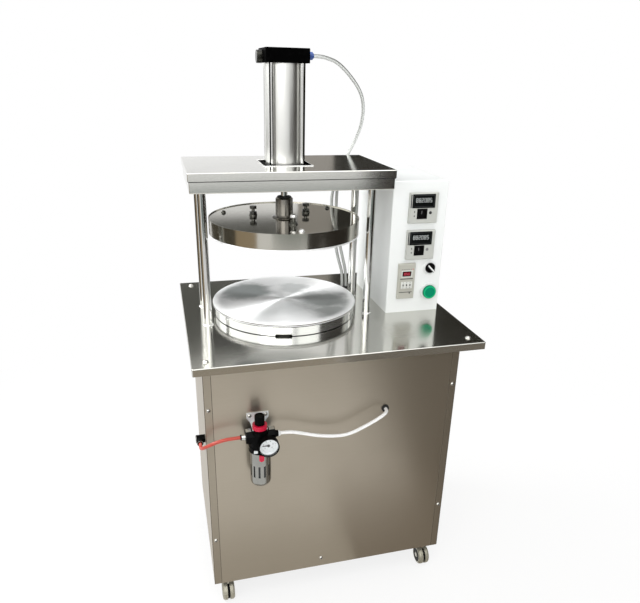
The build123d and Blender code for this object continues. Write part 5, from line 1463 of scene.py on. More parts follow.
@dataclass
class Platens:
    """Heated platens, the rod coupling and the bolts on the upper one."""

    seal_z: float = 988.0
    seal_profile: Profile = ((12.4, 0.0), (16.6, 0.0), (16.6, 1.6), (15.8, 2.4), (12.4, 2.4))
    pan_z: float = 941.0
    foot_profile: Profile = ((20.4, 0.0), (29.0, 0.0), (28.0, 1.6), (22.5, 2.6), (20.6, 6.0))
    level_circle: float = 76.0
    nut_turns: Pair = (35.0, 155.0)
    nuts: tuple[Point, ...] = ((9.4, 7.4, 942.5), (8.8, 6.6, 956.6))
    nut_rounding: float = 0.6
    level_cap_turn: float = 275.0
    level_cap_z: float = 956.6
    level_cap: Profile = ((8.0, 0.0), (8.0, 2.6), (7.2, 5.4), (4.6, 7.6), (0.0, 8.4))
    dome_circle: float = 152.0
    dome_cap_turn: float = 273.0
    dome_cap: Profile = ((6.7, 0.0), (6.7, 1.2), (5.8, 4.2), (3.4, 6.2), (0.0, 6.9))
    band_r: float = 172.4
    band_shadow_t: float = 0.5
    band_shadow_h: float = 1.6
    band_shadow_z: float = 728.6
    rim_r: float = 176.4
    rim_shade_t: float = 0.15
    rim_shade_h: float = 1.7
    rim_shade_z: float = 733.7
    hoop_steps: int = 128
    sill: Point = (9.0, 3.0, 1.2)
    sill_edge: float = 0.2
    sill_z: float = 713.5
    sill_count: int = 5
    sill_sweep: float = 10.4
    sill_turn: float = -12.0

    def dress_nodes(self) -> None:
        """Gives the platens' nodes their finishes."""
        dress(PLATEN_ALUMINIUM, "lower_platen", "upper_platen")
        dress(BAND_STEEL, "lower_band")
        dress(PAN_STEEL, "upper_cover")
        dress(HEATER_STEEL, "lower_heater", "upper_heater")
        dress(COUPLING_STEEL, "rod_coupling")
        dress(BOLT_OXIDE, "platen_bolts")

    def build_coupling_parts(self) -> None:
        """Adds the coupling's black top ring and its flared foot."""
        ring = Mould().turned(self.seal_profile).at((*PRESS_AXIS, self.seal_z))
        ring.piece("coupling_ring", "press", RUBBER, "cap_black")
        foot = Mould().turned(self.foot_profile).at((*PRESS_AXIS, self.pan_z))
        foot.piece("coupling_foot", "press", COUPLING_STEEL, "coupling_steel")

    def bolt_place(self, circle: float, turn: float, z: float) -> Point:
        """A place on a bolt circle of the upper platen.

        Args:
            circle: The circle's radius.
            turn: Angle on it, in degrees.
            z: Height of the place.

        Returns:
            The place.
        """
        angle = math.radians(turn)
        x, y = PRESS_AXIS
        return (x + circle * math.cos(angle), y + circle * math.sin(angle), z)

    def build_bolt_parts(self) -> None:
        """Adds thick nuts to the rear levelling bolts, and bright caps to the front bolts."""
        nuts = Mould()
        for turn in self.nut_turns:
            for radius, height, z in self.nuts:
                nut = Mould().hexagon(radius, height, self.nut_rounding)
                nuts.join(nut.at(self.bolt_place(self.level_circle, turn, z)))
        nuts.piece("level_nuts", "press", BOLT_OXIDE, "screw_steel")
        level = self.bolt_place(self.level_circle, self.level_cap_turn, self.level_cap_z)
        caps = Mould().turned(self.level_cap).at(level)
        low = self.bolt_place(self.dome_circle, self.dome_cap_turn, self.pan_z)
        caps.join(Mould().turned(self.dome_cap).at(low))
        caps.piece("bolt_caps", "press", DOME_CHROME, "screw_steel")

    def hoop(self, radius: float, thick: float, height: float, z: float) -> Mould:
        """A thin hoop about the press axis.

        Args:
            radius: Radius of the face that it lies on.
            thick: How far it stands out of that face and into it.
            height: Its height.
            z: Its foot.

        Returns:
            The hoop in place.
        """
        inner = radius - thick
        outer = radius + thick
        profile = ((inner, 0.0), (outer, 0.0), (outer, height), (inner, height), (inner, 0.0))
        return Mould().turned(profile, self.hoop_steps).at((*PRESS_AXIS, z))

    def build_band_parts(self) -> None:
        """Adds painted shade, a dark ring above the lower band and a dark line on the platen's rim,
        and then the sill over the notch.
        """
        # Painted shadow under the platen's overhang.
        shadow_ring = self.hoop(self.band_r, self.band_shadow_t, self.band_shadow_h, self.band_shadow_z)
        shadow_ring.piece("band_shadow_ring", "cabinet", RUBBER, "cap_black")
        # Painted shade on the lower edge of the platen's rim.
        line = self.hoop(self.rim_r, self.rim_shade_t, self.rim_shade_h, self.rim_shade_z)
        line.piece("platen_rim_shade_line", "cabinet", SEAM_SHADE, "platen_aluminium")
        sill = Mould().block(self.sill, edge=self.sill_edge)
        sill.at((0.0, self.sill[2] - self.band_r, 0.0), Facing.FRONT)
        sill.turn(-self.sill_sweep / 2).around(self.sill_count, self.sill_sweep)
        sill.turn(self.sill_turn).at((*PRESS_AXIS, self.sill_z))
        sill.piece("notch_sill", "cabinet", BAND_STEEL, "band_steel")

    def build(self) -> None:
        """Dresses the platens and adds their small parts."""
        self.dress_nodes()
        self.build_coupling_parts()
        self.build_bolt_parts()
        self.build_band_parts()


SEGMENT_BARS: dict[str, tuple[float, float, bool]] = {
    "top": (0.0, 1.0, True),
    "middle": (0.0, 0.0, True),
    "bottom": (0.0, -1.0, True),
    "upper_left": (-1.0, 0.5, False),
    "upper_right": (1.0, 0.5, False),
    "lower_left": (-1.0, -0.5, False),
    "lower_right": (1.0, -0.5, False),
}
UNLIT_SEGMENTS: dict[str, tuple[str, ...]] = {
    "0": ("middle",),
    "2": ("upper_left", "lower_right"),
    "5": ("upper_right", "lower_left"),
    "8": (),
}


@dataclass(frozen=True)
class DigitRow:
    """A row of seven-segment digits."""

    text: str
    digit_w: float
    digit_h: float
    pitch: float
    bar: float
    tip_gap: float = 0.1
    proud: float = 0.12

    def bar_mould(self, bar: str) -> Mould:
        """One segment bar about a digit's middle.

        Args:
            bar: Its name.

        Returns:
            A mould that faces up.
        """
        across, up, lying = SEGMENT_BARS[bar]
        half_w = (self.digit_w - self.bar) / 2
        half_h = (self.digit_h - self.bar) / 2
        length = 2 * half_w if lying else half_h
        half = length / 2 - self.bar * self.tip_gap
        thick = self.bar / 2
        tip = half - thick
        lower = ((-half, 0.0), (-tip, -thick), (tip, -thick))
        upper = ((half, 0.0), (tip, thick), (-tip, thick))
        made = Mould().prism((*lower, *upper), self.proud)
        if not lying:
            made.turn(UPRIGHT)
        return made.move((across * half_w, up * half_h, 0.0))

    def mould(self, lit: bool) -> Mould:
        """All the lit or all the unlit bars of the row.

        Args:
            lit: Whether the lit ones are wanted.

        Returns:
            A mould that faces up, about the row's middle.
        """
        row = Mould()
        start = -self.pitch * (len(self.text) - 1) / 2
        for place, digit in enumerate(self.text):
            unlit = UNLIT_SEGMENTS[digit]
            for bar in SEGMENT_BARS:
                if (bar not in unlit) == lit:
                    row.join(self.bar_mould(bar).move((start + place * self.pitch, 0.0, 0.0)))
        return row


@dataclass(frozen=True)
class Bar:
    """A plain bar, and its place on a face."""

    size: Point
    spot: Point

    def mould(self, edge: float = 0.0) -> Mould:
        """The bar in its place, with its front edge rounded."""
        return Mould().block(self.size, edge=edge).move(self.spot)


BOX_FRONT = -59.0


def on_box(x: float, z: float, out: float) -> Point:
    """A place that stands out from the control box's front by a distance."""
    return (x, BOX_FRONT - out, z)


@dataclass
class ControllerFace:
    """What shows on the face of one temperature controller."""

    name: str
    window_z: float
    dial_z: float
    trimmer_finish: Finish
    bezel: float = 9.0
    window_x: float = 238.4
    window_depth: float = 1.0
    window_glass: Point = (57.6, 32.5, 1.4)
    window_rounding: Pair = (1.0, 0.3)
    window_line: Border = Border((51.0, 0.5, 0.1), (0.5, 26.0, 0.1), (25.5, 13.0))
    digits: DigitRow = DigitRow("882085", digit_w=5.2, digit_h=10.5, pitch=7.0, bar=1.1)
    digits_rise: float = 2.0
    dial_x: float = 235.0
    mark: Point = (1.2, 7.4, 0.8)
    mark_rounding: Pair = (0.3, 0.2)
    mark_rise: float = 4.9
    mark_out: float = 8.6
    well_walls: Border = Border((24.0, 0.8, 4.3), (0.8, 20.8, 4.3), (11.6, 10.1), edge=0.2)
    well_floor: Point = (23.6, 20.6, 0.3)
    well_ledges: tuple[Bar, ...] = (
        Bar((26.0, 3.8, 4.4), (1.0, 12.3, 0.0)),
        Bar((2.0, 24.6, 4.4), (13.0, 1.9, 0.0)),
    )
    well_edge: float = 0.2
    well_out: float = 5.0
    trimmer_profile: Profile = ((0.0, 0.0), (3.7, 0.0), (3.7, 0.4), (3.0, 1.0), (0.0, 1.0))
    trimmer_steps: int = 24
    trimmer_bar: Point = (4.4, 0.9, 1.3)
    trimmer_bar_edge: float = 0.1
    trimmer_turn: float = 35.0
    trimmer_x: float = 257.0
    trimmer_rise: float = 4.0
    dash: Point = (2.4, 3.6, 0.15)
    dash_rises: Pair = (-3.0, 7.0)
    dash_x: float = 216.5
    square: Border = Border((11.0, 0.7, 0.25), (0.7, 11.0, 0.25), (5.2, 5.2))
    square_out: float = 9.0
    slot: Point = (2.4, 31.0, 0.3)
    slot_rounding: Pair = (0.6, 0.1)
    slot_x: float = 206.8
    slot_rise: float = 32.0

    def build_window(self) -> None:
        """Adds the display: its glass, its digits and the line round them."""
        floor = self.bezel - self.window_depth
        front = floor + self.window_glass[2]
        glass = Mould().block(self.window_glass, *self.window_rounding)
        glass.at(on_box(self.window_x, self.window_z, floor), Facing.FRONT)
        glass.piece(f"{self.name}_window", "cabinet", DISPLAY_DARK, "switch_black")
        place = on_box(self.window_x, self.window_z + self.digits_rise, front)
        lit = self.digits.mould(True).at(place, Facing.FRONT)
        lit.piece(f"{self.name}_digits", "cabinet", SEGMENT_GREY, "controller_white")
        # The unlit segments glow faintly: painted light.
        unlit = self.digits.mould(False).at(place, Facing.FRONT)
        unlit.piece(f"{self.name}_digits_off", "cabinet", SEGMENT_FAINT, "switch_black")
        line = self.window_line.mould()
        line.at(on_box(self.window_x, self.window_z, front), Facing.FRONT)
        line.piece(f"{self.name}_window_line", "cabinet", SEGMENT_FAINT, "switch_black")

    def build_well(self) -> None:
        """Adds the square well that the dial sits in."""
        well = self.well_walls.mould()
        well.join(Mould().block(self.well_floor))
        for ledge in self.well_ledges:
            well.join(ledge.mould(self.well_edge))
        well.at(on_box(self.dial_x, self.dial_z, self.well_out), Facing.FRONT)
        well.piece(f"{self.name}_dial_well", "cabinet", SWITCH_BLACK, "switch_black")

    def build_dial(self) -> None:
        """Adds the dial's well, mark and square, and the small parts beside it."""
        mark = Mould().block(self.mark, *self.mark_rounding).move((0.0, self.mark_rise, 0.0))
        mark.at(on_box(self.dial_x, self.dial_z, self.mark_out), Facing.FRONT)
        mark.piece(f"{self.name}_dial_mark", f"{self.name}_dial", INK_GREY, "switch_black")
        self.build_well()
        trimmer = Mould().turned(self.trimmer_profile, self.trimmer_steps)
        bar = Mould().block(self.trimmer_bar, edge=self.trimmer_bar_edge)
        trimmer.join(bar.turn(self.trimmer_turn))
        trimmer_z = self.dial_z + self.trimmer_rise
        trimmer.at(on_box(self.trimmer_x, trimmer_z, self.bezel), Facing.FRONT)
        trimmer.piece(f"{self.name}_trimmer", "cabinet", self.trimmer_finish, "switch_black")
        dashes = Mould()
        for rise in self.dash_rises:
            dashes.join(Mould().block(self.dash).move((0.0, rise, 0.0)))
        dashes.at(on_box(self.dash_x, self.dial_z, self.bezel), Facing.FRONT)
        dashes.piece(f"{self.name}_dial_dashes", "cabinet", INK_BLACK, "switch_black")
        square = self.square.mould()
        square.at(on_box(self.dial_x, self.dial_z, self.square_out), Facing.FRONT)
        square.piece(f"{self.name}_dial_square", f"{self.name}_dial", INK_GREY, "switch_black")
        # Painted shade: a flat black bar where the slot's inside is dark.
        slot = Mould().block(self.slot, *self.slot_rounding)
        slot.at(on_box(self.slot_x, self.dial_z + self.slot_rise, self.bezel), Facing.FRONT)
        slot.piece(f"{self.name}_side_slot_shade", "cabinet", INK_BLACK, "switch_black")


@dataclass
class TimerFace:
    """What shows on the timer's face: a red display, three digit wheels and printed strokes."""

    x: float = 211.0
    face: float = 6.0
    display_z: float = 808.0
    display_depth: float = 1.0
    display_glass: Point = (22.4, 12.4, 0.7)
    display_rounding: Pair = (1.5, 0.3)
    red_glass: Point = (17.6, 8.6, 0.2)
    red_rounding: Pair = (0.8, 0.1)
    digits: DigitRow = DigitRow("050", digit_w=3.8, digit_h=6.4, pitch=5.4, bar=0.9)
    display_frame: Border = Border((28.0, 2.2, 0.6), (2.2, 13.2, 0.6), (12.9, 7.7), edge=0.2)
    key_z: float = 780.0
    key_out: float = 8.0
    key_plate: Point = (29.6, 17.6, 0.4)
    key_rounding: Pair = (0.6, 0.2)
    key_places: Point = (-9.0, 0.0, 9.0)
    wheel_profile: Profile = ((0.0, -1.3), (5.2, -1.3), (5.2, 1.3), (0.0, 1.3))
    wheel_steps: int = 20
    wheel_rise: float = -4.0
    arrow_half: float = 1.6
    arrow_h: float = 2.2
    arrow_t: float = 0.6
    arrow_rise: float = 5.8
    print_z: float = 789.0
    stroke: Point = (3.4, 1.0, 0.12)
    stroke_start: float = -12.0
    stroke_pitch: float = 5.6
    stroke_count: int = 5
    stroke_rise: float = 30.6
    lines: tuple[Bar, ...] = (
        Bar((34.0, 2.0, 0.12), (0.0, 6.4, 0.0)),
        Bar((34.0, 1.6, 0.12), (-1.0, -28.0, 0.0)),
    )
    dot_profile: Profile = ((0.0, 0.0), (1.8, 0.0), (1.8, 0.15), (0.0, 0.15))
    dot_steps: int = 20
    dot_spot: Point = (10.0, -30.6, 0.0)
    red_dash: Bar = Bar((4.4, 1.4, 0.14), (16.0, 30.6, 0.0))

    def build_display(self) -> None:
        """Adds the display's glass, red filter, digits and frame."""
        floor = self.face - self.display_depth
        front = floor + self.display_glass[2]
        glass = Mould().block(self.display_glass, *self.display_rounding)
        glass.at(on_box(self.x, self.display_z, floor), Facing.FRONT)
        glass.piece("timer_window", "cabinet", DISPLAY_DARK, "switch_black")
        red = Mould().block(self.red_glass, *self.red_rounding)
        red.at(on_box(self.x, self.display_z, front), Facing.FRONT)
        red.piece("timer_red_glass", "cabinet", DISPLAY_RED, "signal_red")
        digits = self.digits.mould(True)
        digits.at(on_box(self.x, self.display_z, front + self.red_glass[2]), Facing.FRONT)
        digits.piece("timer_digits", "cabinet", SEGMENT_RED, "signal_red")
        border = self.display_frame.mould()
        border.at(on_box(self.x, self.display_z, self.face), Facing.FRONT)
        border.piece("timer_display_frame", "cabinet", KEY_WHITE, "controller_white")

    def build_keys(self) -> None:
        """Adds the plate of the digit wheels, the wheels and their arrows."""
        place = on_box(self.x, self.key_z, self.key_out)
        plate = Mould().block(self.key_plate, *self.key_rounding).at(place, Facing.FRONT)
        plate.piece("timer_key_plate", "cabinet", KEY_WHITE, "controller_white")
        wheels = Mould()
        arrows = Mould()
        for x in self.key_places:
            wheel = Mould().turned(self.wheel_profile, self.wheel_steps)
            wheels.join(wheel.at((x, 0.0, self.wheel_rise), Facing.RIGHT))
            for side in SIDES:
                half = side * self.arrow_half
                outline = ((-half, 0.0), (half, 0.0), (0.0, side * self.arrow_h))
                arrow = Mould().prism(outline, self.arrow_t)
                arrows.join(arrow.move((x, side * self.arrow_rise, 0.0)))
        wheels.at(place, Facing.FRONT).piece("timer_wheels", "cabinet", INK_BLACK, "switch_black")
        arrows.at(place, Facing.FRONT).piece("timer_arrows", "cabinet", INK_GREY, "switch_black")

    def build_prints(self) -> None:
        """Adds the printed strokes, lines and dot, and the red dash."""
        place = on_box(self.x, self.print_z, self.face)
        prints = Mould()
        for step in range(self.stroke_count):
            x = self.stroke_start + self.stroke_pitch * step
            prints.join(Mould().block(self.stroke).move((x, self.stroke_rise, 0.0)))
        for line in self.lines:
            prints.join(line.mould())
        prints.join(Mould().turned(self.dot_profile, self.dot_steps).move(self.dot_spot))
        prints.at(place, Facing.FRONT).piece("timer_prints", "cabinet", INK_BLACK, "switch_black")
        red = self.red_dash.mould().at(place, Facing.FRONT)
        red.piece("timer_red_dash", "cabinet", INK_RED, "signal_red")

    def build(self) -> None:
        """Adds all that shows on the timer."""
        self.build_display()
        self.build_keys()
        self.build_prints()


@dataclass
class ControlBox:
    """White box with two temperature controllers, a timer, a selector and the start button."""

    controllers: tuple[ControllerFace, ...] = (
        ControllerFace("upper", window_z=985.9, dial_z=954.0, trimmer_finish=INK_BLACK),
        ControllerFace("lower", window_z=896.9, dial_z=865.0, trimmer_finish=INK_GREY),
    )
    selector: Pair = (271.7, 820.0)
    pointer: Point = (24.0, 3.6, 0.5)
    pointer_rounding: Pair = (1.2, 0.2)
    pointer_turn: float = 135.0
    pointer_out: float = 13.0
    collar_profile: Profile = ((15.1, 0.0), (18.2, 0.0), (18.2, 1.2), (15.9, 3.2), (15.1, 3.2))
    button: Pair = (273.0, 759.0)
    button_out: float = 14.0
    rim_highlight_profile: Profile = ((12.8, 0.0), (15.9, 0.0), (15.6, 0.5), (13.0, 0.5), (12.8, 0.0))

    def dress_nodes(self) -> None:
        """Gives the box's nodes their finishes."""
        dress(BOX_WHITE, "control_box")
        dress(CONTROLLER_WHITE, "temperature_controllers")
        dress(TIMER_GREY, "timer")
        dress(BEZEL_PALE, "switch_bezels")
        dress(SWITCH_BLACK, "selector_knob", "upper_set_dial", "lower_set_dial")
        dress(BUTTON_GREEN, "start_button")

    def build_switches(self) -> None:
        """Adds the selector's pointer and collar, and a painted highlight: a brighter green ring on
        the button's rim.
        """
        pointer = Mould().block(self.pointer, *self.pointer_rounding).turn(self.pointer_turn)
        pointer.at(on_box(*self.selector, self.pointer_out), Facing.FRONT)
        pointer.piece("selector_pointer", "selector", BEZEL_PALE, "bezel_pale")
        collar = Mould().turned(self.collar_profile).at(on_box(*self.selector, 0.0), Facing.FRONT)
        collar.piece("selector_collar", "cabinet", BEZEL_PALE, "bezel_pale")
        rim = Mould().turned(self.rim_highlight_profile)
        rim.at(on_box(*self.button, self.button_out), Facing.FRONT)
        rim.piece("button_rim_highlight", "button", BUTTON_RIM_HIGHLIGHT, "button_green")

    def build(self) -> None:
        """Dresses the box and adds its instruments."""
        self.dress_nodes()
        for controller in self.controllers:
            controller.build_window()
        for controller in self.controllers:
            controller.build_dial()
        TimerFace().build()
        self.build_switches()


@dataclass
class AirUnit:
    """Filter-regulator with its gauge, bracket and fittings."""

    axis: Pair = (-185.0, -234.0)
    dial: Point = (-171.0, -262.3, 499.4)
    fine_tick: Bar = Bar((0.35, 2.2, 0.12), (0.0, 17.0, 0.0))
    coarse_tick: Bar = Bar((0.7, 3.4, 0.14), (0.0, 16.4, 0.0))
    fine_count: int = 31
    scale_sweep: float = 270.0
    numerals: tuple[str, ...] = ("0", "2", "4", "6", "8", "10")
    numeral_r: float = 10.6
    numeral_h: float = 5.0
    numeral_t: float = 0.12
    bevel_profile: Profile = ((18.9, 0.2), (21.3, 9.6))
    needle: Point = (-171.0, -265.1, 499.4)
    needle_cap: Profile = ((0.0, 0.0), (3.2, 0.0), (3.2, 0.6), (2.2, 1.4), (0.0, 1.6))
    needle_cap_steps: int = 24
    plug: Point = (-185.0, -250.0, 513.0)
    plug_size: Point = (7.6, 7.6, 2.6)
    plug_turn: float = 45.0
    plug_dot: Profile = ((0.0, 2.5), (2.0, 2.5), (2.0, 2.9), (0.0, 2.9))
    plug_dot_steps: int = 20
    clip: Point = (-198.0, -255.6, 481.0)
    clip_size: Point = (8.6, 7.0, 2.2)
    cast_rounding: Pair = (0.8, 0.5)
    rib_profile: Profile = ((24.6, 0.0), (25.9, 0.3), (25.9, 1.5), (24.6, 1.8))
    rib_heights: Pair = (473.4, 484.6)
    rib_steps: int = 64
    element_z: float = 412.0
    element_steps: int = 40
    element_profile: Profile = (
        (0.0, 0.0),
        (7.0, 0.0),
        (9.0, 2.0),
        (9.0, 54.0),
        (7.0, 56.0),
        (0.0, 56.0),
    )
    pad_size: Point = (12.0, 13.4, 0.5)
    pad_rounding: Pair = (0.6, 0.2)
    pad_x: Pair = (-211.0, -159.0)
    pad_z: float = 525.0
    port_z: float = 509.0
    nut_x: float = -152.0
    nut_size: Point = (9.4, 3.4, 0.5)
    sleeve_x: float = -149.0
    sleeve_profile: Profile = ((6.6, 0.0), (7.3, 0.0), (7.3, 4.8), (6.6, 5.4), (6.6, 0.0))
    outlet_ring_x: float = -143.7
    outlet_ring: Profile = (
        (6.5, 0.0),
        (6.8, 0.0),
        (6.8, 2.6),
        (5.6, 5.2),
        (4.1, 5.2),
        (4.1, 2.7),
        (6.5, 2.7),
        (6.5, 0.0),
    )
    inlet_ring_x: float = -226.0
    inlet_ring: Profile = (
        (4.1, 0.0),
        (6.4, 0.0),
        (6.4, 1.6),
        (5.6, 2.8),
        (4.1, 2.8),
        (4.1, 0.0),
    )
    elbow: Point = (-302.0, -166.0, 475.0)
    elbow_profile: Profile = ((9.2, 0.0), (9.4, 0.2), (9.4, 19.4), (8.2, 21.0), (0.0, 21.2))
    elbow_port: Point = (-314.0, -166.0, 475.0)
    elbow_port_profile: Profile = ((7.2, 6.0), (7.4, 6.2), (7.4, 19.6), (6.6, 21.2), (4.1, 21.2))

    def dress_nodes(self) -> None:
        """Gives the unit's nodes their finishes."""
        dress(REGULATOR_BLACK, "regulator_body", "regulator_knob")
        dress(BRACKET_STEEL, "regulator_bracket")
        dress(SIGNAL_RED, "lock_ring", "bowl_latch")
        dress(GUARD_STEEL, "bowl_guard")
        dress(BOWL_CLEAR, "filter_bowl")
        dress(GAUGE_BLACK, "gauge_case", "gauge_needle")
        dress(GAUGE_WHITE, "gauge_dial")
        dress(GAUGE_GLASS, "gauge_lens")
        dress(FITTING_METAL, "air_fittings")

    def build_gauge(self) -> None:
        """Adds the dial's scale and bevel, and the needle's cap."""
        half = self.scale_sweep / 2
        steps = len(self.numerals)
        scale = self.fine_tick.mould().turn(-half).around(self.fine_count, self.scale_sweep)
        scale.join(self.coarse_tick.mould().turn(-half).around(steps, self.scale_sweep))
        for step, text in enumerate(self.numerals):
            turn = math.radians(UPRIGHT + half - self.scale_sweep / (steps - 1) * step)
            spot = (self.numeral_r * math.cos(turn), self.numeral_r * math.sin(turn), 0.0)
            scale.join(Mould().words(text, self.numeral_h, self.numeral_t).move(spot))
        scale.at(self.dial, Facing.FRONT).piece("gauge_scale", "cabinet", INK_GREY, "gauge_black")
        bevel = Mould().turned(self.bevel_profile).at(self.dial, Facing.FRONT)
        bevel.piece("gauge_bevel", "cabinet", GAUGE_WHITE, "gauge_white")
        hub = Mould().turned(self.needle_cap, self.needle_cap_steps).at(self.needle, Facing.FRONT)
        hub.piece("needle_cap", "needle", GAUGE_BLACK, "gauge_black")

    def build_body_parts(self) -> None:
        """Adds the plug, the clip, cast ribs and the filter element."""
        plug = Mould().block(self.plug_size, *self.cast_rounding).turn(self.plug_turn)
        plug.join(Mould().turned(self.plug_dot, self.plug_dot_steps))
        plug.at(self.plug, Facing.FRONT).piece("body_plug", "cabinet", GUARD_STEEL, "guard_steel")
        clip = Mould().block(self.clip_size, *self.cast_rounding).at(self.clip, Facing.FRONT)
        clip.piece("bowl_clip", "cabinet", BRACKET_STEEL, "bracket_steel")
        ribs = Mould()
        for z in self.rib_heights:
            ribs.join(Mould().turned(self.rib_profile, self.rib_steps).at((*self.axis, z)))
        ribs.piece("collar_ribs", "cabinet", REGULATOR_BLACK, "regulator_black")
        element = Mould().turned(self.element_profile, self.element_steps)
        element.at((*self.axis, self.element_z))
        element.piece("filter_element", "cabinet", FILTER_BRONZE, "bowl_clear")

    def build_port_highlights(self) -> None:
        """Adds painted highlights: bright metal pads on the shoulders of the ports."""
        pads = Mould()
        for x in self.pad_x:
            pad = Mould().block(self.pad_size, *self.pad_rounding)
            pads.join(pad.at((x, self.axis[1], self.pad_z)))
        pads.piece("port_highlight_pads", "cabinet", PORT_HIGHLIGHT_METAL, "guard_steel")

    def on_port(self, x: float) -> Point:
        """A place on the line of the two ports."""
        return (x, self.axis[1], self.port_z)

    def build_fittings(self) -> None:
        """Adds the nut, the release rings and the elbow's black shell."""
        nut = Mould().hexagon(*self.nut_size).at(self.on_port(self.nut_x), Facing.RIGHT)
        sleeve = Mould().turned(self.sleeve_profile)
        nut.join(sleeve.at(self.on_port(self.sleeve_x), Facing.RIGHT))
        nut.piece("outlet_nut", "cabinet", REGULATOR_BLACK, "regulator_black")
        pale = Mould().turned(self.outlet_ring).at(self.on_port(self.outlet_ring_x), Facing.RIGHT)
        pale.piece("outlet_release_ring", "cabinet", RELEASE_PALE, "hose_white")
        dark = Mould().turned(self.inlet_ring).at(self.on_port(self.inlet_ring_x), Facing.LEFT)
        dark.piece("inlet_release_ring", "cabinet", REGULATOR_BLACK, "regulator_black")
        elbow = Mould().turned(self.elbow_profile).at(self.elbow, Facing.LEFT)
        elbow.join(Mould().turned(self.elbow_port_profile).at(self.elbow_port, Facing.FRONT))
        elbow.piece("elbow_shell", "cabinet", REGULATOR_BLACK, "regulator_black")

    def build(self) -> None:
        """Dresses the unit and adds its small parts."""
        self.dress_nodes()
        self.build_gauge()
        self.build_body_parts()
        self.build_port_highlights()
        self.build_fittings()


@dataclass
class Casters:
    """Twin-wheel casters."""

    swivel: Pair = (267.8, 168.8)
    trail: float = 16.0
    axle_z: float = 25.0
    wheel_face: float = 15.2
    dish: float = 1.6
    gap_shade_half: float = 2.2
    gap_shade_profile: Profile = (
        (6.0, 0.0),
        (22.0, 0.0),
        (22.6, 0.6),
        (22.6, 3.8),
        (22.0, 4.4),
        (6.0, 4.4),
    )
    disc_profile: Profile = (
        (7.2, 0.0),
        (17.6, 0.0),
        (17.6, 0.7),
        (16.6, 1.1),
        (8.0, 1.3),
        (7.2, 0.9),
    )
    wheel_steps: int = 40
    hub_profile: Profile = ((0.0, 0.0), (6.0, 0.0), (6.0, 0.3), (4.8, 0.9), (0.0, 1.1))
    hub_steps: int = 32

    def build_one(self, name: str, middle: float, axle_y: float) -> None:
        """Dresses one caster and adds a dark disc of painted shade between its wheels, and the
        discs and hub caps of its wheels.

        Args:
            name: The caster's corner.
            middle: Its middle along X.
            axle_y: Its axle's place along Y.
        """
        dress(CASTER_STEEL, f"caster_fork_{name}")
        dress(CASTER_SHELL, f"caster_wheels_{name}")
        # Painted shade: a black disc fills the gap between the twin wheels.
        core = Mould().turned(self.gap_shade_profile, self.wheel_steps)
        core.at((middle - self.gap_shade_half, axle_y, self.axle_z), Facing.RIGHT)
        core.piece(f"wheel_gap_shade_{name}", f"caster_{name}", SWITCH_BLACK, "caster_plastic")
        discs = Mould()
        hubs = Mould()
        for side, facing in zip(SIDES, (Facing.LEFT, Facing.RIGHT)):
            sunk = (middle + side * (self.wheel_face - self.dish), axle_y, self.axle_z)
            discs.join(Mould().turned(self.disc_profile, self.wheel_steps).at(sunk, facing))
            face = (middle + side * self.wheel_face, axle_y, self.axle_z)
            hubs.join(Mould().turned(self.hub_profile, self.hub_steps).at(face, facing))
        discs.piece(f"wheel_discs_{name}", f"wheels_{name}", SWITCH_BLACK, "caster_plastic")
        hubs.piece(f"wheel_hubs_{name}", f"wheels_{name}", CASTER_STEEL, "caster_steel")

    def build(self) -> None:
        """Builds the casters at the four corners."""
        swivel_x, swivel_y = self.swivel
        for side_y, end in zip(SIDES, ("front", "rear")):
            for side_x, hand in zip(SIDES, ("left", "right")):
                self.build_one(f"{end}_{hand}", side_x * swivel_x, side_y * swivel_y - self.trail)


@dataclass(frozen=True)
class FreeTube:
    """A free air tube: a smooth line through its route, which it shares with the CAD solid."""

    node: str
    route: tuple[Point, ...]
    length: float
    finish: Finish
    slot: str
    stiffness: str
    lay: str
    diameter: float = 8.0
    run_steps: int = 8
    round_steps: int = 6

    def build(self) -> None:
        """Lays the tube along its route in place of the CAD solid."""
        curve = bpy.data.curves.new(f"{self.node}_line", "CURVE")
        curve.dimensions = "3D"
        curve.resolution_u = self.run_steps
        curve.bevel_depth = self.diameter / 2 * MM
        curve.bevel_resolution = self.round_steps
        spline = curve.splines.new("NURBS")
        spline.points.add(len(self.route) - 1)
        for control, point in zip(spline.points, self.route):
            control.co = (*(part * MM for part in point), 1.0)
        spline.order_u = 3
        spline.use_endpoint_u = True
        curve.materials.append(self.finish.material())
        tube = bpy.data.objects.new(f"{self.node}_free", curve)
        bpy.context.scene.collection.objects.link(tube)
        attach(tube, "cabinet")
        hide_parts(self.node)
        log.info("tube %s is %.0f mm long", self.node, self.length)


SUPPLY_HOSE = FreeTube(
    "supply_hose",
    (
        (-226.0, -234.0, 509.0),
        (-243.0, -234.0, 509.0),
        (-262.0, -234.0, 508.0),
        (-280.0, -233.5, 504.0),
        (-292.0, -230.0, 497.5),
        (-302.5, -223.5, 489.0),
        (-310.0, -214.5, 480.0),
        (-314.0, -203.5, 473.0),
        (-314.0, -195.0, 473.0),
        (-314.0, -187.0, 475.0),
    ),
    length=124.0,
    finish=HOSE_RED,
    slot="hose_red",
    stiffness="medium",
    lay="loose",
)
OUTLET_TUBE = FreeTube(
    "outlet_tube",
    (
        (-141.0, -234.0, 509.0),
        (-118.0, -234.0, 509.0),
        (-93.0, -234.0, 502.5),
        (-58.0, -233.5, 490.5),
        (-22.0, -233.0, 482.5),
        (15.0, -233.0, 480.0),
        (40.0, -233.0, 487.5),
        (66.0, -233.0, 499.0),
        (87.5, -232.0, 509.0),
        (103.5, -229.0, 516.0),
        (115.5, -223.5, 520.0),
        (122.0, -215.0, 522.0),
        (122.0, -206.0, 522.0),
    ),
    length=288.0,
    finish=HOSE_WHITE,
    slot="hose_white",
    stiffness="medium",
    lay="hanging",
)
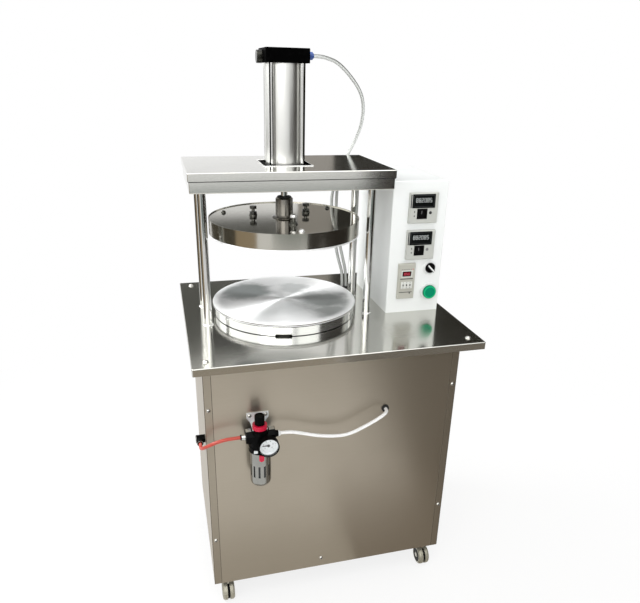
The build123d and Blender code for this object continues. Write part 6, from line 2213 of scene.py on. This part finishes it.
UPPER_PORT_TUBE = FreeTube(
    "upper_port_tube",
    (
        (-15.0, 17.5, 1290.5),
        (3.0, 17.5, 1290.5),
        (22.0, 22.0, 1287.0),
        (43.0, 30.0, 1281.0),
        (65.0, 42.0, 1267.5),
        (87.0, 56.0, 1250.0),
        (110.0, 73.0, 1229.0),
        (128.0, 92.0, 1206.0),
        (139.0, 112.0, 1176.0),
        (142.0, 132.0, 1140.0),
        (134.0, 150.0, 1103.0),
        (119.0, 162.0, 1067.0),
        (104.0, 168.0, 1034.0),
        (89.0, 168.0, 1000.0),
        (80.0, 165.0, 966.0),
        (78.0, 161.0, 928.0),
        (84.0, 159.0, 878.0),
        (92.0, 158.0, 826.0),
        (102.0, 157.0, 782.0),
        (114.0, 156.0, 747.0),
        (114.0, 156.0, 710.0),
    ),
    length=717.0,
    finish=HOSE_CLEAR,
    slot="hose_clear",
    stiffness="stiff",
    lay="hanging",
)
LOWER_PORT_TUBE = FreeTube(
    "lower_port_tube",
    (
        (84.0, 132.0, 1012.0),
        (84.0, 132.0, 982.0),
        (84.0, 138.0, 940.0),
        (90.0, 144.0, 888.0),
        (99.0, 147.0, 836.0),
        (112.0, 150.0, 790.0),
        (124.0, 156.0, 747.0),
        (124.0, 156.0, 710.0),
    ),
    length=307.0,
    finish=HOSE_CLEAR,
    slot="hose_clear",
    stiffness="stiff",
    lay="hanging",
)


# Studio


def stage_plane(name: str, plane: bmesh.types.BMesh, sheet: NodeSheet) -> bpy.types.Object:
    """Ends a plane in an object that stands round the press.

    Args:
        name: Its name.
        plane: The plane, in place.
        sheet: The node sheet of its material.

    Returns:
        The object.
    """
    data = bpy.data.meshes.new(name)
    plane.to_mesh(data)
    plane.free()
    data.materials.append(sheet.owner)
    made = bpy.data.objects.new(name, data)
    bpy.context.scene.collection.objects.link(made)
    return made


@dataclass(frozen=True)
class ReflectionCard:
    """A dim card that only polished surfaces see."""

    name: str
    place: Point
    facing: Facing
    size: Pair
    colour: Colour

    def build(self) -> None:
        """Hangs the card."""
        plane = bmesh.new()
        bmesh.ops.create_grid(plane, x_segments=1, y_segments=1, size=0.5)
        bmesh.ops.scale(plane, vec=(*self.size, 1.0), verts=plane.verts[:])
        matrix = Matrix.Translation(self.place) @ self.facing.matrix()
        bmesh.ops.transform(plane, matrix=matrix, verts=plane.verts[:])
        sheet = NodeSheet(bpy.data.materials.new(self.name))
        sheet.end("ShaderNodeOutputMaterial", sheet.glow(self.colour))
        card = stage_plane(self.name, plane, sheet)
        card.visible_camera = False
        card.visible_diffuse = False
        card.visible_shadow = False
        card.visible_transmission = False


@dataclass(frozen=True)
class SoftLamp:
    """A rectangular soft light."""

    name: str
    place: Point
    target: Point
    size: Pair
    power: float

    def build(self) -> None:
        """Hangs the lamp so that it points at its target."""
        lamp = bpy.data.lights.new(self.name, "AREA")
        lamp.shape = "RECTANGLE"
        lamp.size, lamp.size_y = self.size
        lamp.energy = self.power
        holder = bpy.data.objects.new(self.name, lamp)
        holder.location = self.place
        aim = Vector(self.target) - Vector(self.place)
        holder.rotation_euler = aim.to_track_quat("-Z", "Y").to_euler()
        bpy.context.scene.collection.objects.link(holder)


LAMPS = (
    SoftLamp("window_left", (-1.75, 0.65, 2.3), (-0.08, 0.0, 0.75), (1.1, 1.3), power=50.0),
    SoftLamp("ceiling", (0.3, -0.9, 3.0), (0.0, 0.0, 0.7), (2.2, 2.2), power=28.0),
    SoftLamp("window_front", (-1.7, -3.0, 2.0), (0.0, 0.0, 0.8), (3.6, 1.0), power=42.0),
)
DARK_CARD: Colour = (0.035, 0.03, 0.025)
CARDS = (
    ReflectionCard(
        "far_right", (5.375, 6.0, 1.71), Facing.FRONT, (7.25, 3.42), (0.035, 0.033, 0.028)
    ),
    ReflectionCard("far_mid", (1.525, 6.0, 1.71), Facing.FRONT, (0.45, 3.42), (0.33, 0.31, 0.28)),
    ReflectionCard("far_band", (-0.1, 6.0, 2.84), Facing.FRONT, (2.8, 1.16), (0.1, 0.1, 0.09)),
    ReflectionCard("far_top", (-0.35, 6.0, 3.82), Facing.FRONT, (2.3, 0.8), (0.55, 0.55, 0.53)),
    ReflectionCard("far_left", (-0.64, 5.98, 3.55), Facing.FRONT, (1.72, 0.28), (0.13, 0.13, 0.12)),
    ReflectionCard("far_dark", (0.37, 5.97, 3.49), Facing.FRONT, (0.5, 0.36), (0.01, 0.01, 0.01)),
    ReflectionCard("left_glow", (-2.2, 0.4, 2.0), Facing.RIGHT, (4.6, 1.4), (1.9, 1.92, 1.9)),
    ReflectionCard("front_glow", (1.3, -2.4, 1.88), Facing.FRONT, (2.0, 1.0), (1.8, 1.82, 1.8)),
    ReflectionCard("far_corner", (6.1, 6.0, 4.01), Facing.FRONT, (5.8, 1.18), (0.03, 0.028, 0.022)),
    ReflectionCard("right_card", (2.2, -0.8, 1.4), Facing.RIGHT, (2.8, 2.8), DARK_CARD),
    ReflectionCard("front_card", (1.5, -2.2, 0.65), Facing.FRONT, (1.4, 1.3), DARK_CARD),
    ReflectionCard("front_mid", (-0.35, -3.5, 0.22), Facing.FRONT, (3.3, 0.44), (0.2, 0.235, 0.22)),
    ReflectionCard("left_card", (-2.0, -0.87, 0.42), Facing.RIGHT, (1.4, 0.84), (0.42, 0.33, 0.22)),
    ReflectionCard("left_back", (-2.0, 1.66, 0.42), Facing.RIGHT, (3.66, 0.84), (0.09, 0.08, 0.06)),
    ReflectionCard(
        "floor_card", (1.21, -1.12, 0.004), Facing.UP, (1.58, 1.75), (0.22, 0.195, 0.165)
    ),
    ReflectionCard("near_card", (-0.18, -0.36, 0.005), Facing.UP, (0.6, 0.3), (0.56, 0.53, 0.48)),
    ReflectionCard(
        "near_right", (0.27, -0.39, 0.007), Facing.UP, (0.36, 0.38), (0.32, 0.28, 0.235)
    ),
    ReflectionCard("lip_card", (-0.39, -1.8, 0.006), Facing.UP, (1.6, 0.8), (0.38, 0.33, 0.265)),
)


@dataclass
class Studio:
    """Floor, light, reflection cards and camera."""

    camera_place: Point = (-0.35641, -1.36818, 1.25209)
    camera_turn: Point = (67.35179, -1.25978, -14.77884)
    lens: float = 33.752
    sensor: float = 36.0
    shift: Pair = (-0.00416, 0.038)
    clip: Pair = (0.05, 100.0)
    floor_side: float = 30.0
    floor_colour: Colour = (0.86, 0.86, 0.85)
    floor_roughness: float = 0.5
    glow_reach: Pair = (0.5, 1.7)
    glow_share: Pair = (0.8, 1.0)
    world_light: float = 0.72
    lamps: tuple[SoftLamp, ...] = LAMPS
    cards: tuple[ReflectionCard, ...] = CARDS

    def build_camera(self) -> None:
        """Sets the camera at the photograph's viewing angle."""
        data = bpy.data.cameras.new("photo_camera")
        data.lens = self.lens
        data.sensor_width = self.sensor
        data.sensor_fit = "HORIZONTAL"
        data.shift_x, data.shift_y = self.shift
        data.clip_start, data.clip_end = self.clip
        camera = bpy.data.objects.new("photo_camera", data)
        camera.location = self.camera_place
        camera.rotation_euler = [math.radians(turn) for turn in self.camera_turn]
        bpy.context.scene.collection.objects.link(camera)
        bpy.context.scene.camera = camera

    @staticmethod
    def seen_rays(sheet: NodeSheet) -> Wire:
        """Finds the rays that show a background: from the camera, from gloss and through glass.

        Args:
            sheet: The node sheet of the floor or the world.

        Returns:
            1 for those rays, and 0 for others.
        """
        path = sheet.node("ShaderNodeLightPath", out="Is Camera Ray")
        outputs = path.socket.node.outputs
        glossy = Wire(sheet, outputs["Is Glossy Ray"])
        through = Wire(sheet, outputs["Is Transmission Ray"])
        return path.most(glossy).most(through)

    def build_world(self) -> None:
        """Sets a soft even light, with white where the background shows."""
        world = bpy.data.worlds.new("studio")
        bpy.context.scene.world = world
        sheet = NodeSheet(world)
        strength = self.world_light + (1.0 - self.world_light) * self.seen_rays(sheet)
        sockets = {"Color": rgba(WHITE), "Strength": strength}
        sheet.end("ShaderNodeOutputWorld", sheet.node("ShaderNodeBackground", {}, sockets))

    def build_floor(self) -> None:
        """Lays a pale floor that stays near white to the camera and keeps the press's shadow."""
        plane = bmesh.new()
        bmesh.ops.create_grid(plane, x_segments=1, y_segments=1, size=self.floor_side / 2)
        sheet = NodeSheet(bpy.data.materials.new("studio_floor"))
        skin = {"Color": rgba(self.floor_colour), "Roughness": self.floor_roughness}
        paint = sheet.node("ShaderNodeBsdfDiffuse", {}, skin)
        share = sheet.ease(sheet.length(sheet.place()), self.glow_reach, self.glow_share)
        sockets = {0: share * self.seen_rays(sheet), 1: paint, 2: sheet.glow(WHITE)}
        both = sheet.node("ShaderNodeMixShader", {}, sockets)
        sheet.end("ShaderNodeOutputMaterial", both)
        stage_plane("studio_floor", plane, sheet)

    def build(self) -> None:
        """Builds the studio."""
        bpy.context.scene.view_settings.view_transform = "Standard"
        self.build_camera()
        self.build_world()
        self.build_floor()
        for item in (*self.lamps, *self.cards):
            item.build()


def main() -> None:
    """Builds the studio, then each sub-assembly in order."""
    logging.basicConfig(level=logging.INFO, format="%(name)s: %(message)s")
    Studio().build()
    for tube in (SUPPLY_HOSE, OUTLET_TUBE, UPPER_PORT_TUBE, LOWER_PORT_TUBE):
        tube.build()
    for assembly in (Cabinet(), PressHead(), Platens(), ControlBox(), AirUnit(), Casters()):
        assembly.build()


if __name__ == "__main__":
    main()
